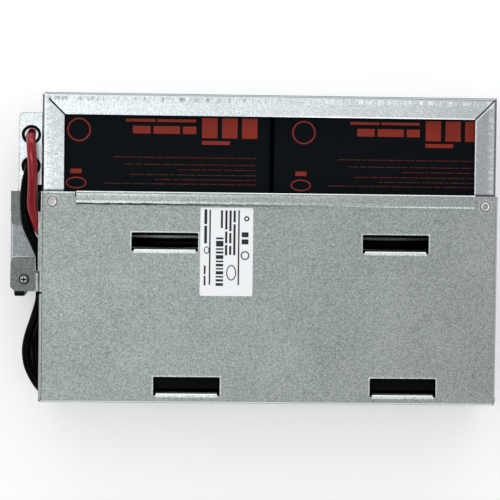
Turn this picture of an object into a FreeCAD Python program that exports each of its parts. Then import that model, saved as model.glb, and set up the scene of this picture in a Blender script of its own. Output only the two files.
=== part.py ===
"""Battery cartridge for a rack UPS: four sealed lead-acid batteries on their sides in a folded tray.

Axes: +X towards the right wall, +Y towards the back wall, +Z up out of the tray.
The origin is the centre of the tray's underside. Lengths are in millimetres.
"""
import FreeCAD, Part
import math
import os
from FreeCAD import Vector

os.makedirs("parts", exist_ok=True)

# ---- sheet metal ----
sheet = 1.0              # thickness of the galvanised sheet
bend_in = 0.8            # inner radius of an ordinary bend
seat = 0.05              # gap left between two sheets that lie on each other
wrap_gap = 0.3           # gap between the tray's walls and the skirts around them

# ---- batteries, 12 V 9 Ah class, laid on their sides ----
battery_length = 151.0   # along X
battery_thick = 65.0     # along Z
battery_height = 94.3    # along Y, from the base to the top of the lid
lid_depth = 17.0         # part of the height that is lid
lid_inset = 0.35         # step from the case in to the lid, all round
case_edge = 2.5          # radius of the case's long edges
case_soft = 0.8          # radius of the base and lid rims
terminal_inset = 13.5    # from a battery's end to the middle of its blade
terminal_rise = 40.8     # from a battery's lower side to the middle of its blades
blade_width = 6.35
blade_thick = 0.8
blade_out = 5.0          # how far a blade stands out of the lid
pocket_depth = 3.0       # recess in the lid round each blade
pocket_x = 15.0
pocket_z = 13.0
vent_strip_x = 96.0
vent_strip_z = 34.0
vent_strip_deep = 1.2

# ---- how the batteries sit in the tray ----
battery_gap = 2.0        # between the two batteries of a row
side_play = 3.4          # spare length in a row
right_clearance = 0.3    # the rows are pushed to the right wall
floor_clearance = 0.2
top_clearance = 3.3      # room under the lips for the rivets' tails
back_clearance = 1.0
row_channel = 10.35      # between the back row's lids and the front row's bases
front_channel = 6.95     # between the front row's lids and the open end of the tray

# ---- tray ----
lip_width = 14.8
mitre_gap_left = 1.1
mitre_gap_right = 0.3
corner_relief = 1.5      # radius of the relief hole at a floor corner, in outer bend radii
lip_trim = 1.0           # the side lips stop short of the open end by this much
ear_drop = 8.95          # from the cover's top down to the ear's and the tabs' upper faces
ear_reach = 16.17        # from the wall's outer face to the ear's free edge
ear_gap = 0.1            # between the cover's back edge and the ear
ear_length = 53.51
ear_corner = 3.5
ear_notch_x = 3.45       # relief notch at the front end of the ear's bend
ear_notch_y = 4.3
ear_window_drop = 16.0   # height of the opening that the ear leaves in the wall
lead_window_setback = 15.25  # from the cover's back edge to the window's back end
lead_window_long = 70.0
lead_window_below = 12.0     # from the blades' height down to its lower edge
lead_window_margin = 1.5     # from its upper edge to the tray's top
wire_notch_long = 18.45
wire_notch_half = 18.0       # half its height, above and below the blades' height
window_corner = 3.0

# ---- grommets in the ear ----
grommet_out = 7.8        # from the wall's outer face to the holes' centres
grommet_along = (38.32, 17.07)   # from the ear's front end
grommet_hole = 11.1
grommet_flange = 13.2
grommet_bore = 9.3
grommet_flange_high = 1.6
grommet_below = 3.2      # length of the barrel below the ear
grommet_snap = 0.5       # how far the snap ridge stands out
grommet_fit = 0.1        # hole diameter minus barrel diameter

# ---- cover ----
window_depth = 67.2      # from the tray's back face to the plate's back edge
skirt_deep = 12.0        # side skirts, measured from the cover's top
front_wall_foot = 1.2    # height of the front wall's lower edge
return_low = 3.0         # the front wall's return flanges, on the side walls
return_high = 21.0
return_reach = 15.0
hem_from_left = 24.65    # from the left skirt to the hem's end
hem_from_right = 15.65
hem_width = 9.0
hem_overhang = 0.78      # the fold stands this far behind the plate's edge
hem_gap = 0.15
hem_corner = 1.2
hem_slit = 0.8
hem_slit_long = 3.4
slot_length = 45.4
slot_width = 11.2
slot_ends = 1.0          # corner radius of a slot
back_slot_shift = (4.0, 8.4)     # from the middle of the battery below, left and right
front_slot_shift = (19.7, 14.5)
back_slot_past_lid = -3.45       # from the top of the lids to the slots' middles
front_slot_past_lid = 3.1
flap_length = 41.6
flap_deep = 9.5
flap_bend_in = 0.3       # a flap is folded sharper than the rest
flap_relief = 0.1        # how far a relief notch runs past the flap's bend
top_rivet_in = 7.3       # from the wall's outer face
top_rivet_setback = 6.9  # from the plate's back edge
side_rivet_setback = 4.15    # from the tray's open end
side_rivet_z = 12.0
skirt_setback = 0.75     # from the front wall's inner face to the side skirts
skirt_relief = 1.5       # between the front tab and the skirt in front of it

# ---- tabs for the connector bracket ----
tab_reach = 19.98        # from the skirt's outer face to the tab's free edge
tab_bend_in = 3.0
tabs_span = 68.15        # from the back tab's back edge to the front tab's front edge
tab_length = 23.9
tab_root = 13.9          # length over which a tab joins the skirt
tab_corner = 3.8
tab_chamfer = 2.8
plate_overhang = 0.8     # unbent edge of the cover between the two roots
tab_clear = 0.35         # from the end of its bend to where a tab's flat widens past its root
tab_edge_roll = 0.4      # soft upper edge that the punch leaves
tab_fixing_from_end = 8.05
tab_fixing_out = 12.0    # from the tray's outer face

# ---- connector bracket ----
bracket_short = 0.25     # from the bracket's inner edge to the tabs' free edges
bracket_foot_drop = 4.0  # from the connector's lower end to the bracket's
panel_inset = 2.9        # the side panel is this much shorter than the plate at each end

# ---- rivets, screws and nuts ----
rivet_head = 6.5
rivet_head_high = 1.25
rivet_shank = 3.2
rivet_tail = 4.6
rivet_tail_high = 2.2
rivet_eye = 3.4          # ring-shaped recess round the broken mandrel
rivet_stub = 1.9         # the mandrel's own end
flat_head = 6.4          # low rivet under the leads, on the back tab
flat_head_high = 0.7
flat_tail = 5.0
flat_tail_high = 1.2
screw_shank = 3.5
screw_head = 6.9
screw_head_high = 2.4
screw_long = 5.0
recess_long = 4.0        # span of the cross recess
recess_wide = 1.1
recess_deep = 1.6
recess_narrowing = 0.7   # the recess at its floor, as a share of its mouth
screw_point = 0.5        # chamfer at the end of the thread
nut_round = 7.1
nut_high = 2.3
small_shank = 3.0
small_head = 5.6
small_head_high = 2.0
small_recess_long = 3.2
screw_clearance = 0.3    # hole diameter minus screw diameter

# ---- connector ----
plug_width = 9.4         # along X
plug_height = 36.0
plug_length = 39.7
plug_drop = 5.55         # from the bracket's plate to the housing
plug_setback = 0.5       # from the front tab's edge to the housing
plug_soft = 1.0          # edge radius
nose_width = 7.2
nose_reach = 4.3
nose_inset = 2.0         # from the housing's ends to the nose's
nose_taper = 0.6
nose_tip = 1.5           # length of the taper
port_wide = 4.8
port_high = 12.0
port_deep = 16.0
pole_pitch = 18.0
contact_thick = 1.5
contact_high = 8.0
contact_long = 15.0
contact_root = 4.0       # part of a contact that is held in the housing
collar_outer = 9.2
collar_long = 6.0
boss_from_front = (12.4, 33.4)   # the two screws, from the housing's front end

# ---- leads ----
lead_d = 6.4
back_loop_rise = -26.0   # how far a short jumper dips under its blades
front_loop_rise = -20.0
loop_lead_in = 8.0       # straight wire at each end of a short jumper
approach = 5.5           # straight wire in front of a sleeve
sleeve_tail = 5.2        # flag terminal's sleeve, from the blade to its closed end
sleeve_mouth = 8.0       # and to the end that the wire leaves
sleeve_high = 8.0
sleeve_deep = 7.4
sleeve_gap = 0.25
wire_from_lid_back = 5.15    # middle of the wires in front of the lids, back row and front row
wire_from_lid_front = 4.1

# ---- rating label ----
label_beside_slot = 1.25 # from the back left slot's end to the label
label_setback = 9.6      # from the plate's back edge
label_wide = 35.9
label_long = 60.1
label_thick = 0.15
label_corner = 1.2

# ---- sizes that follow from the ones above ----
tray_inner_x = 2 * battery_length + battery_gap + side_play
tray_inner_y = back_clearance + 2 * battery_height + row_channel + front_channel
tray_inner_z = floor_clearance + battery_thick + top_clearance
wall_x = tray_inner_x / 2 + sheet
back_y = tray_inner_y / 2 + sheet
front_y = -back_y
tray_top = tray_inner_z + 2 * sheet
bend_out = bend_in + sheet

cover_low = tray_top + seat
cover_top = cover_low + sheet
cover_back = back_y - window_depth
skirt_x = wall_x + wrap_gap + sheet
cover_front = front_y - wrap_gap - sheet
hem_left = -skirt_x + hem_from_left
hem_right = skirt_x - hem_from_right
flap_bend_out = flap_bend_in + sheet
top_rivet_x = wall_x - top_rivet_in
top_rivet_y = cover_back - top_rivet_setback
side_rivet_y = front_y + side_rivet_setback

ear_top = cover_top - ear_drop
ear_front = cover_back + ear_gap
ear_back = ear_front + ear_length
grommet_x = -wall_x - grommet_out
grommet_y = tuple(ear_front + along for along in grommet_along)

tab_low = ear_top - sheet
tab_edge = -skirt_x - tab_reach
tab_flat_end = -skirt_x - tab_bend_in - tab_clear
tab_back = cover_back
tab_front = tab_back - tabs_span
tab_fixing_x = -wall_x - tab_fixing_out
bracket_top = tab_low - seat
bracket_right = tab_flat_end - bracket_short
panel_x = tab_edge

plug_high = bracket_top - plug_drop
plug_low = plug_high - plug_height
plug_front = tab_front + plug_setback
plug_back = plug_front + plug_length
plug_mid_z = (plug_low + plug_high) / 2
collar_y = plug_back + collar_long
pole_z = (plug_mid_z + pole_pitch / 2, plug_mid_z - pole_pitch / 2)
boss_y = tuple(plug_front + along for along in boss_from_front)
bracket_foot = plug_low - bracket_foot_drop

battery_low = sheet + floor_clearance
battery_top = battery_low + battery_thick
terminal_z = battery_low + terminal_rise
right_start = wall_x - sheet - right_clearance - battery_length
left_start = right_start - battery_gap - battery_length
back_lid = back_y - sheet - back_clearance - battery_height
front_base = back_lid - row_channel
front_lid = front_base - battery_height
batteries = ((left_start, back_lid), (right_start, back_lid),
             (left_start, front_lid), (right_start, front_lid))
wire_y_back = back_lid - wire_from_lid_back
wire_y_front = front_lid - wire_from_lid_front
lead_window_back = cover_back - lead_window_setback
lead_window_front = lead_window_back - lead_window_long
lead_window_low = terminal_z - lead_window_below
lead_window_high = tray_top - lead_window_margin
wire_notch_back = front_y + wire_notch_long

left_middle = left_start + battery_length / 2
right_middle = right_start + battery_length / 2
slot_centres = (
    (left_middle + back_slot_shift[0], back_lid + back_slot_past_lid),
    (right_middle + back_slot_shift[1], back_lid + back_slot_past_lid),
    (left_middle + front_slot_shift[0], front_lid + front_slot_past_lid),
    (right_middle + front_slot_shift[1], front_lid + front_slot_past_lid))
label_left = slot_centres[0][0] + slot_length / 2 + label_beside_slot
label_back = cover_back - label_setback
plug_x = panel_x + sheet + seat + plug_width / 2
bracket_rivet_y = tab_back - tab_fixing_from_end
bracket_screw_y = tab_front + tab_fixing_from_end


# ---- helpers ----
def block(x0, x1, y0, y1, z0, z1):
    return Part.makeBox(x1 - x0, y1 - y0, z1 - z0, Vector(x0, y0, z0))


def rod(radius, start, end):
    start = Vector(*start)
    along = Vector(*end) - start
    return Part.makeCylinder(radius, along.Length, start, along)


def rounded_block(x0, x1, y0, y1, z0, z1, radius):
    """Block whose four upright edges are rounded."""
    body = block(x0, x1, y0, y1, z0, z1)
    upright = [e for e in body.Edges if abs(e.tangentAt(e.FirstParameter).z) > 0.9]
    return body.makeFillet(radius, upright)


def offset_corners(points, distance):
    """Corners of a line beside an open run of straight lines, to the left of its direction."""
    lefts = []
    for (x0, y0), (x1, y1) in zip(points, points[1:]):
        run = math.hypot(x1 - x0, y1 - y0)
        lefts.append((-(y1 - y0) / run, (x1 - x0) / run))
    moved = [(points[0][0] + distance * lefts[0][0], points[0][1] + distance * lefts[0][1])]
    for (x, y), a, b in zip(points[1:-1], lefts, lefts[1:]):
        share = distance / (1 + a[0] * b[0] + a[1] * b[1])
        moved.append((x + share * (a[0] + b[0]), y + share * (a[1] + b[1])))
    moved.append((points[-1][0] + distance * lefts[-1][0], points[-1][1] + distance * lefts[-1][1]))
    return moved


def bend_side(before, corner, after):
    """1 where the path turns left at the corner, -1 where it turns right."""
    cross = ((corner[0] - before[0]) * (after[1] - corner[1])
             - (corner[1] - before[1]) * (after[0] - corner[0]))
    return 1 if cross > 0 else -1


def rounded_run(points, radii, place):
    """Edges along straight lines whose corners are tangent arcs."""
    start = Vector(points[0][0], points[0][1], 0)
    edges = []
    for before, corner, after, radius in zip(points, points[1:], points[2:], radii):
        corner = Vector(corner[0], corner[1], 0)
        into = (corner - Vector(before[0], before[1], 0)).normalize()
        out = (Vector(after[0], after[1], 0) - corner).normalize()
        turn = into.getAngle(out)
        reach = radius * math.tan(turn / 2)
        first = corner - into * reach
        last = corner + out * reach
        middle_way = (out - into).normalize()
        middle = corner + middle_way * (radius / math.cos(turn / 2) - radius)
        edges.append(Part.LineSegment(place(start), place(first)).toShape())
        edges.append(Part.Arc(place(first), place(middle), place(last)).toShape())
        start = last
    edges.append(Part.LineSegment(place(start), place(Vector(points[-1][0], points[-1][1], 0))).toShape())
    return edges


def bent_sheet(points, inner_radii, place, along):
    """Sheet folded along the points, thickened to their left and drawn out along a vector.

    The points are the corners of its right-hand face. Each corner has its own inner bend radius.
    """
    sides = [bend_side(*corner) for corner in zip(points, points[1:], points[2:])]
    right_radii = [r + sheet if side > 0 else r for r, side in zip(inner_radii, sides)]
    left_radii = [r if side > 0 else r + sheet for r, side in zip(inner_radii, sides)]
    left_points = offset_corners(points, sheet)
    right = rounded_run(points, right_radii, place)
    left = rounded_run(left_points, left_radii, place)
    ends = []
    for index in (0, -1):
        a = Vector(points[index][0], points[index][1], 0)
        b = Vector(left_points[index][0], left_points[index][1], 0)
        ends.append(Part.LineSegment(place(a), place(b)).toShape())
    outline = Part.Wire(Part.__sortEdges__(right + [ends[1]] + left + [ends[0]]))
    return Part.Face(outline).extrude(along)


def across_x(y):
    """Places a section drawn in (X, Z) at one Y."""
    return lambda p: Vector(p.x, y, p.y)


def across_y(x):
    """Places a section drawn in (Y, Z) at one X."""
    return lambda p: Vector(x, p.x, p.y)


def across_z(z):
    """Places a section drawn in (X, Y) at one Z."""
    return lambda p: Vector(p.x, p.y, z)


def mirrored_x(shape):
    return shape.mirror(Vector(0, 0, 0), Vector(1, 0, 0))


def one_solid(shape):
    shape = shape.removeSplitter()
    return shape.Solids[0] if len(shape.Solids) == 1 else shape


def group(solids):
    return Part.makeCompound(solids)


def export(shape, name):
    shape.exportStep(f"parts/{name}.step")


def prism_z(points, z0, z1):
    """Upright prism on an outline given in (X, Y)."""
    outline = Part.makePolygon([Vector(x, y, z0) for x, y in points + points[:1]])
    return Part.Face(outline).extrude(Vector(0, 0, z1 - z0))


# ---- tray ----
def side_wall():
    """Left wall with its strip of floor and its lip, before the corners are mitred."""
    floor_end = -wall_x + 4 * bend_out
    section = [(floor_end, 0), (-wall_x, 0), (-wall_x, tray_top), (-wall_x + lip_width, tray_top)]
    section.reverse()
    return bent_sheet(section, [bend_in, bend_in], across_x(front_y), Vector(0, back_y - front_y, 0))


def back_wall():
    floor_end = back_y - 4 * bend_out
    section = [(floor_end, 0), (back_y, 0), (back_y, tray_top), (back_y - lip_width, tray_top)]
    return bent_sheet(section, [bend_in, bend_in], across_y(-wall_x), Vector(2 * wall_x, 0, 0))


def mitre_wedge():
    """Everything behind the two mitre planes, which run inwards from the back corners."""
    far = 2 * wall_x
    return prism_z([(-wall_x, back_y), (0, back_y - wall_x), (wall_x, back_y),
                    (far, back_y + far - wall_x), (-far, back_y + far - wall_x)], -1, tray_top + 1)


def mitre_slit(side, gap):
    """Thin upright slab along one mitre, from the wall corner to past the lips."""
    reach = 2 * lip_width
    slab = Part.makeBox(2 * reach, gap, tray_top, Vector(-reach, -gap / 2, bend_out))
    slab.rotate(Vector(0, 0, 0), Vector(0, 0, 1), -45 * side)
    slab.translate(Vector(-side * wall_x, back_y, 0))
    return slab


def ear():
    """Flange bent out of the left wall, with two holes for the grommets."""
    root = ear_top + bend_out + 2 * sheet
    section = [(-wall_x - ear_reach, tab_low), (-wall_x + sheet, tab_low), (-wall_x + sheet, root)]
    length = ear_back - ear_front
    body = bent_sheet(section, [bend_in], across_x(ear_front), Vector(0, length, 0))
    far_edges = [e for e in body.Edges
                 if abs(e.tangentAt(e.FirstParameter).z) > 0.9
                 and e.CenterOfMass.x < -wall_x - ear_reach + sheet and e.CenterOfMass.y > ear_front + sheet]
    body = body.makeFillet(ear_corner, far_edges)
    notch = block(-wall_x - ear_notch_x, -wall_x + 2 * sheet, ear_front - 1, ear_front + ear_notch_y,
                  tab_low - 1, ear_top + bend_out)
    body = body.cut(notch)
    for y in grommet_y:
        body = body.cut(rod(grommet_hole / 2, (grommet_x, y, tab_low - 1), (grommet_x, y, ear_top + 1)))
    return body


def wall_opening(y0, y1, z0, z1):
    """Opening with round corners through the left wall."""
    body = block(-wall_x - 2 * sheet, -wall_x + 2 * sheet, y0, y1, z0, z1)
    across = [e for e in body.Edges if abs(e.tangentAt(e.FirstParameter).x) > 0.9]
    return body.makeFillet(window_corner, across)


def tray():
    wedge = mitre_wedge()
    left = side_wall()
    sides = left.fuse(mirrored_x(left)).cut(wedge)
    back = back_wall().common(wedge)
    inset = 3 * bend_out
    floor = block(-wall_x + inset, wall_x - inset, front_y, back_y - inset, 0, sheet)
    body = sides.fuse([back, floor])
    for side, gap in ((1, mitre_gap_left), (-1, mitre_gap_right)):
        body = body.cut(mitre_slit(side, gap))
        centre = (-side * (wall_x - bend_out), back_y - bend_out)
        body = body.cut(rod(corner_relief * bend_out, (*centre, -1), (*centre, bend_out + 1)))
    left_out = block(-wall_x - 1, -wall_x + sheet + 1, ear_front, ear_back,
                     ear_top - ear_window_drop, ear_top + bend_in + sheet)
    body = body.cut(left_out)
    body = body.cut(wall_opening(lead_window_front, lead_window_back, lead_window_low, lead_window_high))
    body = body.cut(wall_opening(front_y - wire_notch_long, wire_notch_back,
                                 terminal_z - wire_notch_half, terminal_z + wire_notch_half))
    body = body.cut(block(-2 * wall_x, 2 * wall_x, front_y - 1, front_y + lip_trim,
                          tray_top - bend_out, tray_top + 1))
    body = body.fuse(ear())
    for side in (-1, 1):
        body = body.cut(rod(rivet_shank / 2, (side * top_rivet_x, top_rivet_y, tray_top - 2 * sheet),
                            (side * top_rivet_x, top_rivet_y, tray_top + 1)))
        body = body.cut(rod(rivet_shank / 2, (side * (wall_x - 2 * sheet), side_rivet_y, side_rivet_z),
                            (side * (wall_x + 1), side_rivet_y, side_rivet_z)))
    return one_solid(body)


# ---- cover ----
def cover_plate():
    inset = 2 * bend_out
    return block(-skirt_x + inset, skirt_x - inset, cover_front + inset, cover_back, cover_low, cover_top)


def side_skirt(y0, y1):
    """Left skirt with its strip of plate."""
    inner = -skirt_x + 3 * bend_out
    section = [(inner, cover_top), (-skirt_x, cover_top), (-skirt_x, cover_top - skirt_deep)]
    return bent_sheet(section, [bend_in], across_x(y0), Vector(0, y1 - y0, 0))


def tab_skirt(y0, y1):
    """Short skirt that ends in a tab bent outwards."""
    inner = -skirt_x + 3 * bend_out
    section = [(inner, cover_top), (-skirt_x, cover_top), (-skirt_x, ear_top), (tab_edge, ear_top)]
    return bent_sheet(section, [bend_in, tab_bend_in], across_x(y0), Vector(0, y1 - y0, 0))


def tab(y0, y1, root_at_back):
    """One screw tab. It is longer than its root, and the corner beside the other tab is rounded."""
    root = (y1 - tab_root, y1) if root_at_back else (y0, y0 + tab_root)
    flat = block(tab_edge, tab_flat_end, y0, y1, tab_low, ear_top)
    near_y = y0 if root_at_back else y1
    corner = [e for e in flat.Edges
              if abs(e.tangentAt(e.FirstParameter).z) > 0.9
              and e.CenterOfMass.x < tab_edge + 1 and abs(e.CenterOfMass.y - near_y) < 1]
    flat = flat.makeFillet(tab_corner, corner)
    rolled = [e for e in flat.Edges
              if e.CenterOfMass.z > ear_top - 0.01 and e.CenterOfMass.x < tab_flat_end - 1
              and abs(e.CenterOfMass.y - (y0 + y1 - near_y)) > 1]
    flat = flat.makeFillet(tab_edge_roll, rolled)
    return flat.fuse(tab_skirt(*root))


def front_wall():
    """Front wall with its strip of plate."""
    inner = cover_front + 3 * bend_out
    section = [(inner, cover_top), (cover_front, cover_top), (cover_front, front_wall_foot)]
    edge = skirt_x - seat
    body = bent_sheet(section, [bend_in], across_y(-edge), Vector(2 * edge, 0, 0))
    return body


def return_flange():
    """Left return flange of the front wall, round the tray's corner."""
    section = [(-skirt_x, cover_front + return_reach), (-skirt_x, cover_front),
               (-skirt_x + 3 * bend_out, cover_front)]
    return bent_sheet(section, [bend_in], across_z(return_low), Vector(0, 0, return_high - return_low))


def return_reliefs():
    """Notches above and below a return flange, and the strip of front wall that it replaces."""
    x0 = -skirt_x - 1
    x1 = -skirt_x + bend_out
    y0 = cover_front - 1
    y1 = cover_front + sheet + 1
    strip = block(x0, x1, y0, y1, return_low, return_high)
    above = block(x0, x1, y0, y1, return_high, return_high + sheet)
    below = block(x0, x1, y0, y1, return_low - sheet, return_low)
    return strip.fuse([above, below])


def hem():
    """Edge of the plate folded back flat on itself."""
    fold_r = sheet + hem_gap / 2
    axis_y = cover_back + hem_overhang - fold_r
    axis_z = cover_top + hem_gap / 2
    x0 = hem_left
    front = cover_back + hem_overhang - hem_width
    width = hem_right - hem_left

    def p(y, z):
        return Vector(x0, y, z)

    gap_r = hem_gap / 2
    fold = []
    for r in (fold_r, gap_r):
        arc = Part.Arc(p(axis_y, axis_z - r), p(axis_y + r, axis_z), p(axis_y, axis_z + r))
        fold.append(arc.toShape())
    upper = [p(axis_y, axis_z + fold_r), p(front, axis_z + fold_r),
             p(front, axis_z + gap_r), p(axis_y, axis_z + gap_r)]
    lower = [p(axis_y, axis_z - gap_r), p(front, axis_z - gap_r),
             p(front, axis_z - fold_r), p(axis_y, axis_z - fold_r)]
    edges = fold + Part.makePolygon(upper).Edges + Part.makePolygon(lower).Edges
    outline = Part.Wire(Part.__sortEdges__(edges))
    body = Part.Face(outline).extrude(Vector(width, 0, 0))
    ends = [e for e in body.Edges
            if abs(e.tangentAt(e.FirstParameter).z) > 0.9 and e.CenterOfMass.z > cover_top
            and e.CenterOfMass.y < front + sheet]
    return body.makeFillet(hem_corner, ends)


def hem_slits():
    """Narrow slits beside the hem and the plate's edge that becomes the fold."""
    back = cover_back + hem_overhang + 1
    slit_end = cover_back - hem_slit_long
    fold = block(hem_left, hem_right, cover_back - 2 * sheet, back, cover_low - 1, cover_top + 1)
    for x0 in (hem_left - hem_slit, hem_right):
        fold = fold.fuse(block(x0, x0 + hem_slit, slit_end, back, cover_low - 1, cover_top + 1))
    return fold


def slot_cut(x, y):
    """A slot with the relief notches at the two ends of its flap."""
    body = rounded_block(x - slot_length / 2, x + slot_length / 2, y - slot_width / 2, y + slot_width / 2,
                         cover_low - 1, cover_top + 1, slot_ends)
    for side in (-1, 1):
        inner = x + side * flap_length / 2
        outer = x + side * slot_length / 2
        low = y - slot_width / 2 - flap_bend_out - flap_relief
        body = body.fuse(block(min(inner, outer), max(inner, outer), low, y, cover_low - 1, cover_top + 1))
    return body


def flap(x, y):
    """Flap of a slot, bent down at the slot's front edge."""
    edge = y - slot_width / 2
    section = [(edge - 3 * flap_bend_out, cover_top), (edge, cover_top), (edge, cover_top - flap_deep)]
    section.reverse()
    return bent_sheet(section, [flap_bend_in], across_y(x - flap_length / 2), Vector(flap_length, 0, 0))


def flap_space(x, y):
    """The flat strip of plate that a flap's bend replaces."""
    edge = y - slot_width / 2
    return block(x - flap_length / 2, x + flap_length / 2, edge - flap_bend_out, edge + 1,
                 cover_low - 1, cover_top + 1)


def cover():
    back_root_front = tab_back - tab_root
    front_root_back = tab_front + tab_root
    plain_back = tab_front - skirt_relief
    skirt_front = cover_front + sheet + skirt_setback
    left = side_skirt(skirt_front, plain_back)
    right = mirrored_x(side_skirt(skirt_front, cover_back))
    between = block(-skirt_x - plate_overhang, -skirt_x + 3 * bend_out, front_root_back, back_root_front,
                    cover_low, cover_top)
    relief = block(-skirt_x + bend_out, -skirt_x + 3 * bend_out, plain_back, tab_front, cover_low, cover_top)
    tabs = [tab(tab_back - tab_length, tab_back, True), tab(tab_front, tab_front + tab_length, False)]
    front = front_wall()
    for flange_cut in (return_reliefs(), mirrored_x(return_reliefs())):
        front = front.cut(flange_cut)
    front = front.fuse([return_flange(), mirrored_x(return_flange())])
    corner = block(-skirt_x - 1, -skirt_x + bend_out, cover_front - 1, skirt_front,
                   cover_low - bend_out, cover_top + 1)
    front = front.cut(corner).cut(mirrored_x(corner))
    body = cover_plate().fuse([left, right, between, relief, front] + tabs)
    body = body.cut(hem_slits()).fuse(hem())
    for x, y in slot_centres:
        body = body.cut(slot_cut(x, y)).cut(flap_space(x, y)).fuse(flap(x, y))
    for side in (-1, 1):
        body = body.cut(rod(rivet_shank / 2, (side * top_rivet_x, top_rivet_y, cover_low - 1),
                            (side * top_rivet_x, top_rivet_y, cover_top + 1)))
        body = body.cut(rod(rivet_shank / 2, (side * (wall_x - 1), side_rivet_y, side_rivet_z),
                            (side * (skirt_x + 1), side_rivet_y, side_rivet_z)))
    body = body.cut(tab_front_corner(tab_low, ear_top))
    return one_solid(body.cut(tab_holes(tab_low - 1, ear_top + 1)))


def tab_holes(z0, z1):
    """Screw hole of the front tab and rivet hole of the back one."""
    screw_hole = rod((screw_shank + screw_clearance) / 2, (tab_fixing_x, bracket_screw_y, z0),
                     (tab_fixing_x, bracket_screw_y, z1))
    rivet_hole = rod(rivet_shank / 2, (tab_fixing_x, bracket_rivet_y, z0),
                     (tab_fixing_x, bracket_rivet_y, z1))
    return screw_hole.fuse(rivet_hole)


def tab_front_corner(z0, z1):
    """Chamfer at the front left corner of the front tab and of the bracket's plate."""
    return prism_z([(tab_edge - 1, tab_front - 1), (tab_edge + tab_chamfer, tab_front - 1),
                    (tab_edge + tab_chamfer, tab_front), (tab_edge, tab_front + tab_chamfer),
                    (tab_edge - 1, tab_front + tab_chamfer)], z0 - 1, z1 + 1)


# ---- batteries ----
def soft_box(x0, x1, y0, y1, z0, z1, long_edge, rim_y, rim):
    """Block with rounded edges along Y and a softened rim at one Y face."""
    body = block(x0, x1, y0, y1, z0, z1)
    along_y = [e for e in body.Edges if abs(e.tangentAt(e.FirstParameter).y) > 0.9]
    body = body.makeFillet(long_edge, along_y)
    rim_edges = [e for e in body.Edges
                 if abs(e.BoundBox.YMin - rim_y) < 1e-6 and abs(e.BoundBox.YMax - rim_y) < 1e-6]
    return body.makeFillet(rim, rim_edges)


def battery_case(x, lid_y):
    base_y = lid_y + battery_height
    return soft_box(x, x + battery_length, lid_y + lid_depth, base_y, battery_low, battery_top,
                    case_edge, base_y, case_soft)


def terminal_xs(x):
    return x + terminal_inset, x + battery_length - terminal_inset


def battery_lid(x, lid_y):
    body = soft_box(x + lid_inset, x + battery_length - lid_inset, lid_y, lid_y + lid_depth,
                    battery_low + lid_inset, battery_top - lid_inset, case_edge, lid_y, case_soft)
    for terminal_x in terminal_xs(x):
        pocket = block(terminal_x - pocket_x / 2, terminal_x + pocket_x / 2, lid_y - 1, lid_y + pocket_depth,
                       terminal_z - pocket_z / 2, terminal_z + pocket_z / 2)
        blade_slot = block(terminal_x - blade_width / 2, terminal_x + blade_width / 2,
                           lid_y, lid_y + 2 * pocket_depth,
                           terminal_z - blade_thick / 2, terminal_z + blade_thick / 2)
        body = body.cut(pocket).cut(blade_slot)
    middle_x = x + battery_length / 2
    middle_z = battery_low + battery_thick / 2
    strip_seat = block(middle_x - vent_strip_x / 2 - seat, middle_x + vent_strip_x / 2 + seat,
                       lid_y - 1, lid_y + vent_strip_deep,
                       middle_z - vent_strip_z / 2 - seat, middle_z + vent_strip_z / 2 + seat)
    return body.cut(strip_seat)


def vent_strip(x, lid_y):
    """Thin cover over the vent valves, set flush in the lid."""
    middle_x = x + battery_length / 2
    middle_z = battery_low + battery_thick / 2
    body = block(middle_x - vent_strip_x / 2, middle_x + vent_strip_x / 2, lid_y, lid_y + vent_strip_deep,
                 middle_z - vent_strip_z / 2, middle_z + vent_strip_z / 2)
    across = [e for e in body.Edges if abs(e.tangentAt(e.FirstParameter).y) > 0.9]
    return body.makeFillet(case_soft, across)


def blades(x, lid_y):
    """The two flat terminals of one battery, with the hole near the end of each."""
    solids = []
    for terminal_x in terminal_xs(x):
        y0 = lid_y - blade_out
        body = block(terminal_x - blade_width / 2, terminal_x + blade_width / 2, y0, lid_y + 2 * pocket_depth,
                     terminal_z - blade_thick / 2, terminal_z + blade_thick / 2)
        hole_y = y0 + blade_width / 2
        body = body.cut(rod(blade_width / 8, (terminal_x, hole_y, terminal_z - 1),
                            (terminal_x, hole_y, terminal_z + 1)))
        solids.append(body)
    return group(solids)


# ---- flag terminals ----
def sleeve(terminal_x, lid_y, mouth_side):
    """Insulating sleeve over a blade. The wire leaves it at the mouth, towards -X or +X."""
    x0 = terminal_x - (sleeve_mouth if mouth_side < 0 else sleeve_tail)
    x1 = terminal_x + (sleeve_tail if mouth_side < 0 else sleeve_mouth)
    y1 = lid_y - sleeve_gap
    body = block(x0, x1, y1 - sleeve_deep, y1, terminal_z - sleeve_high / 2, terminal_z + sleeve_high / 2)
    along_x = [e for e in body.Edges if abs(e.tangentAt(e.FirstParameter).x) > 0.9]
    body = body.makeFillet(sleeve_high / 4, along_x)
    blade = block(terminal_x - blade_width / 2 - seat, terminal_x + blade_width / 2 + seat,
                  lid_y - blade_out - seat, lid_y + 1,
                  terminal_z - blade_thick / 2 - seat, terminal_z + blade_thick / 2 + seat)
    return body.cut(blade)


def mouth(battery, end, mouth_side):
    """Where a wire meets the sleeve on one blade of a battery: end 0 is the left blade, 1 the right."""
    x, lid_y = batteries[battery]
    wire_y = wire_y_back if lid_y == back_lid else wire_y_front
    reach = sleeve_mouth * mouth_side
    return (terminal_xs(x)[end] + reach, wire_y, terminal_z)


def leaving(battery, end, mouth_side, distance):
    """Point straight in front of a sleeve's mouth."""
    x, y, z = mouth(battery, end, mouth_side)
    return (x + distance * mouth_side, y, z)


def sleeves(plan):
    return group([sleeve(terminal_xs(batteries[b][0])[end], batteries[b][1], side) for b, end, side in plan])


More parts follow.
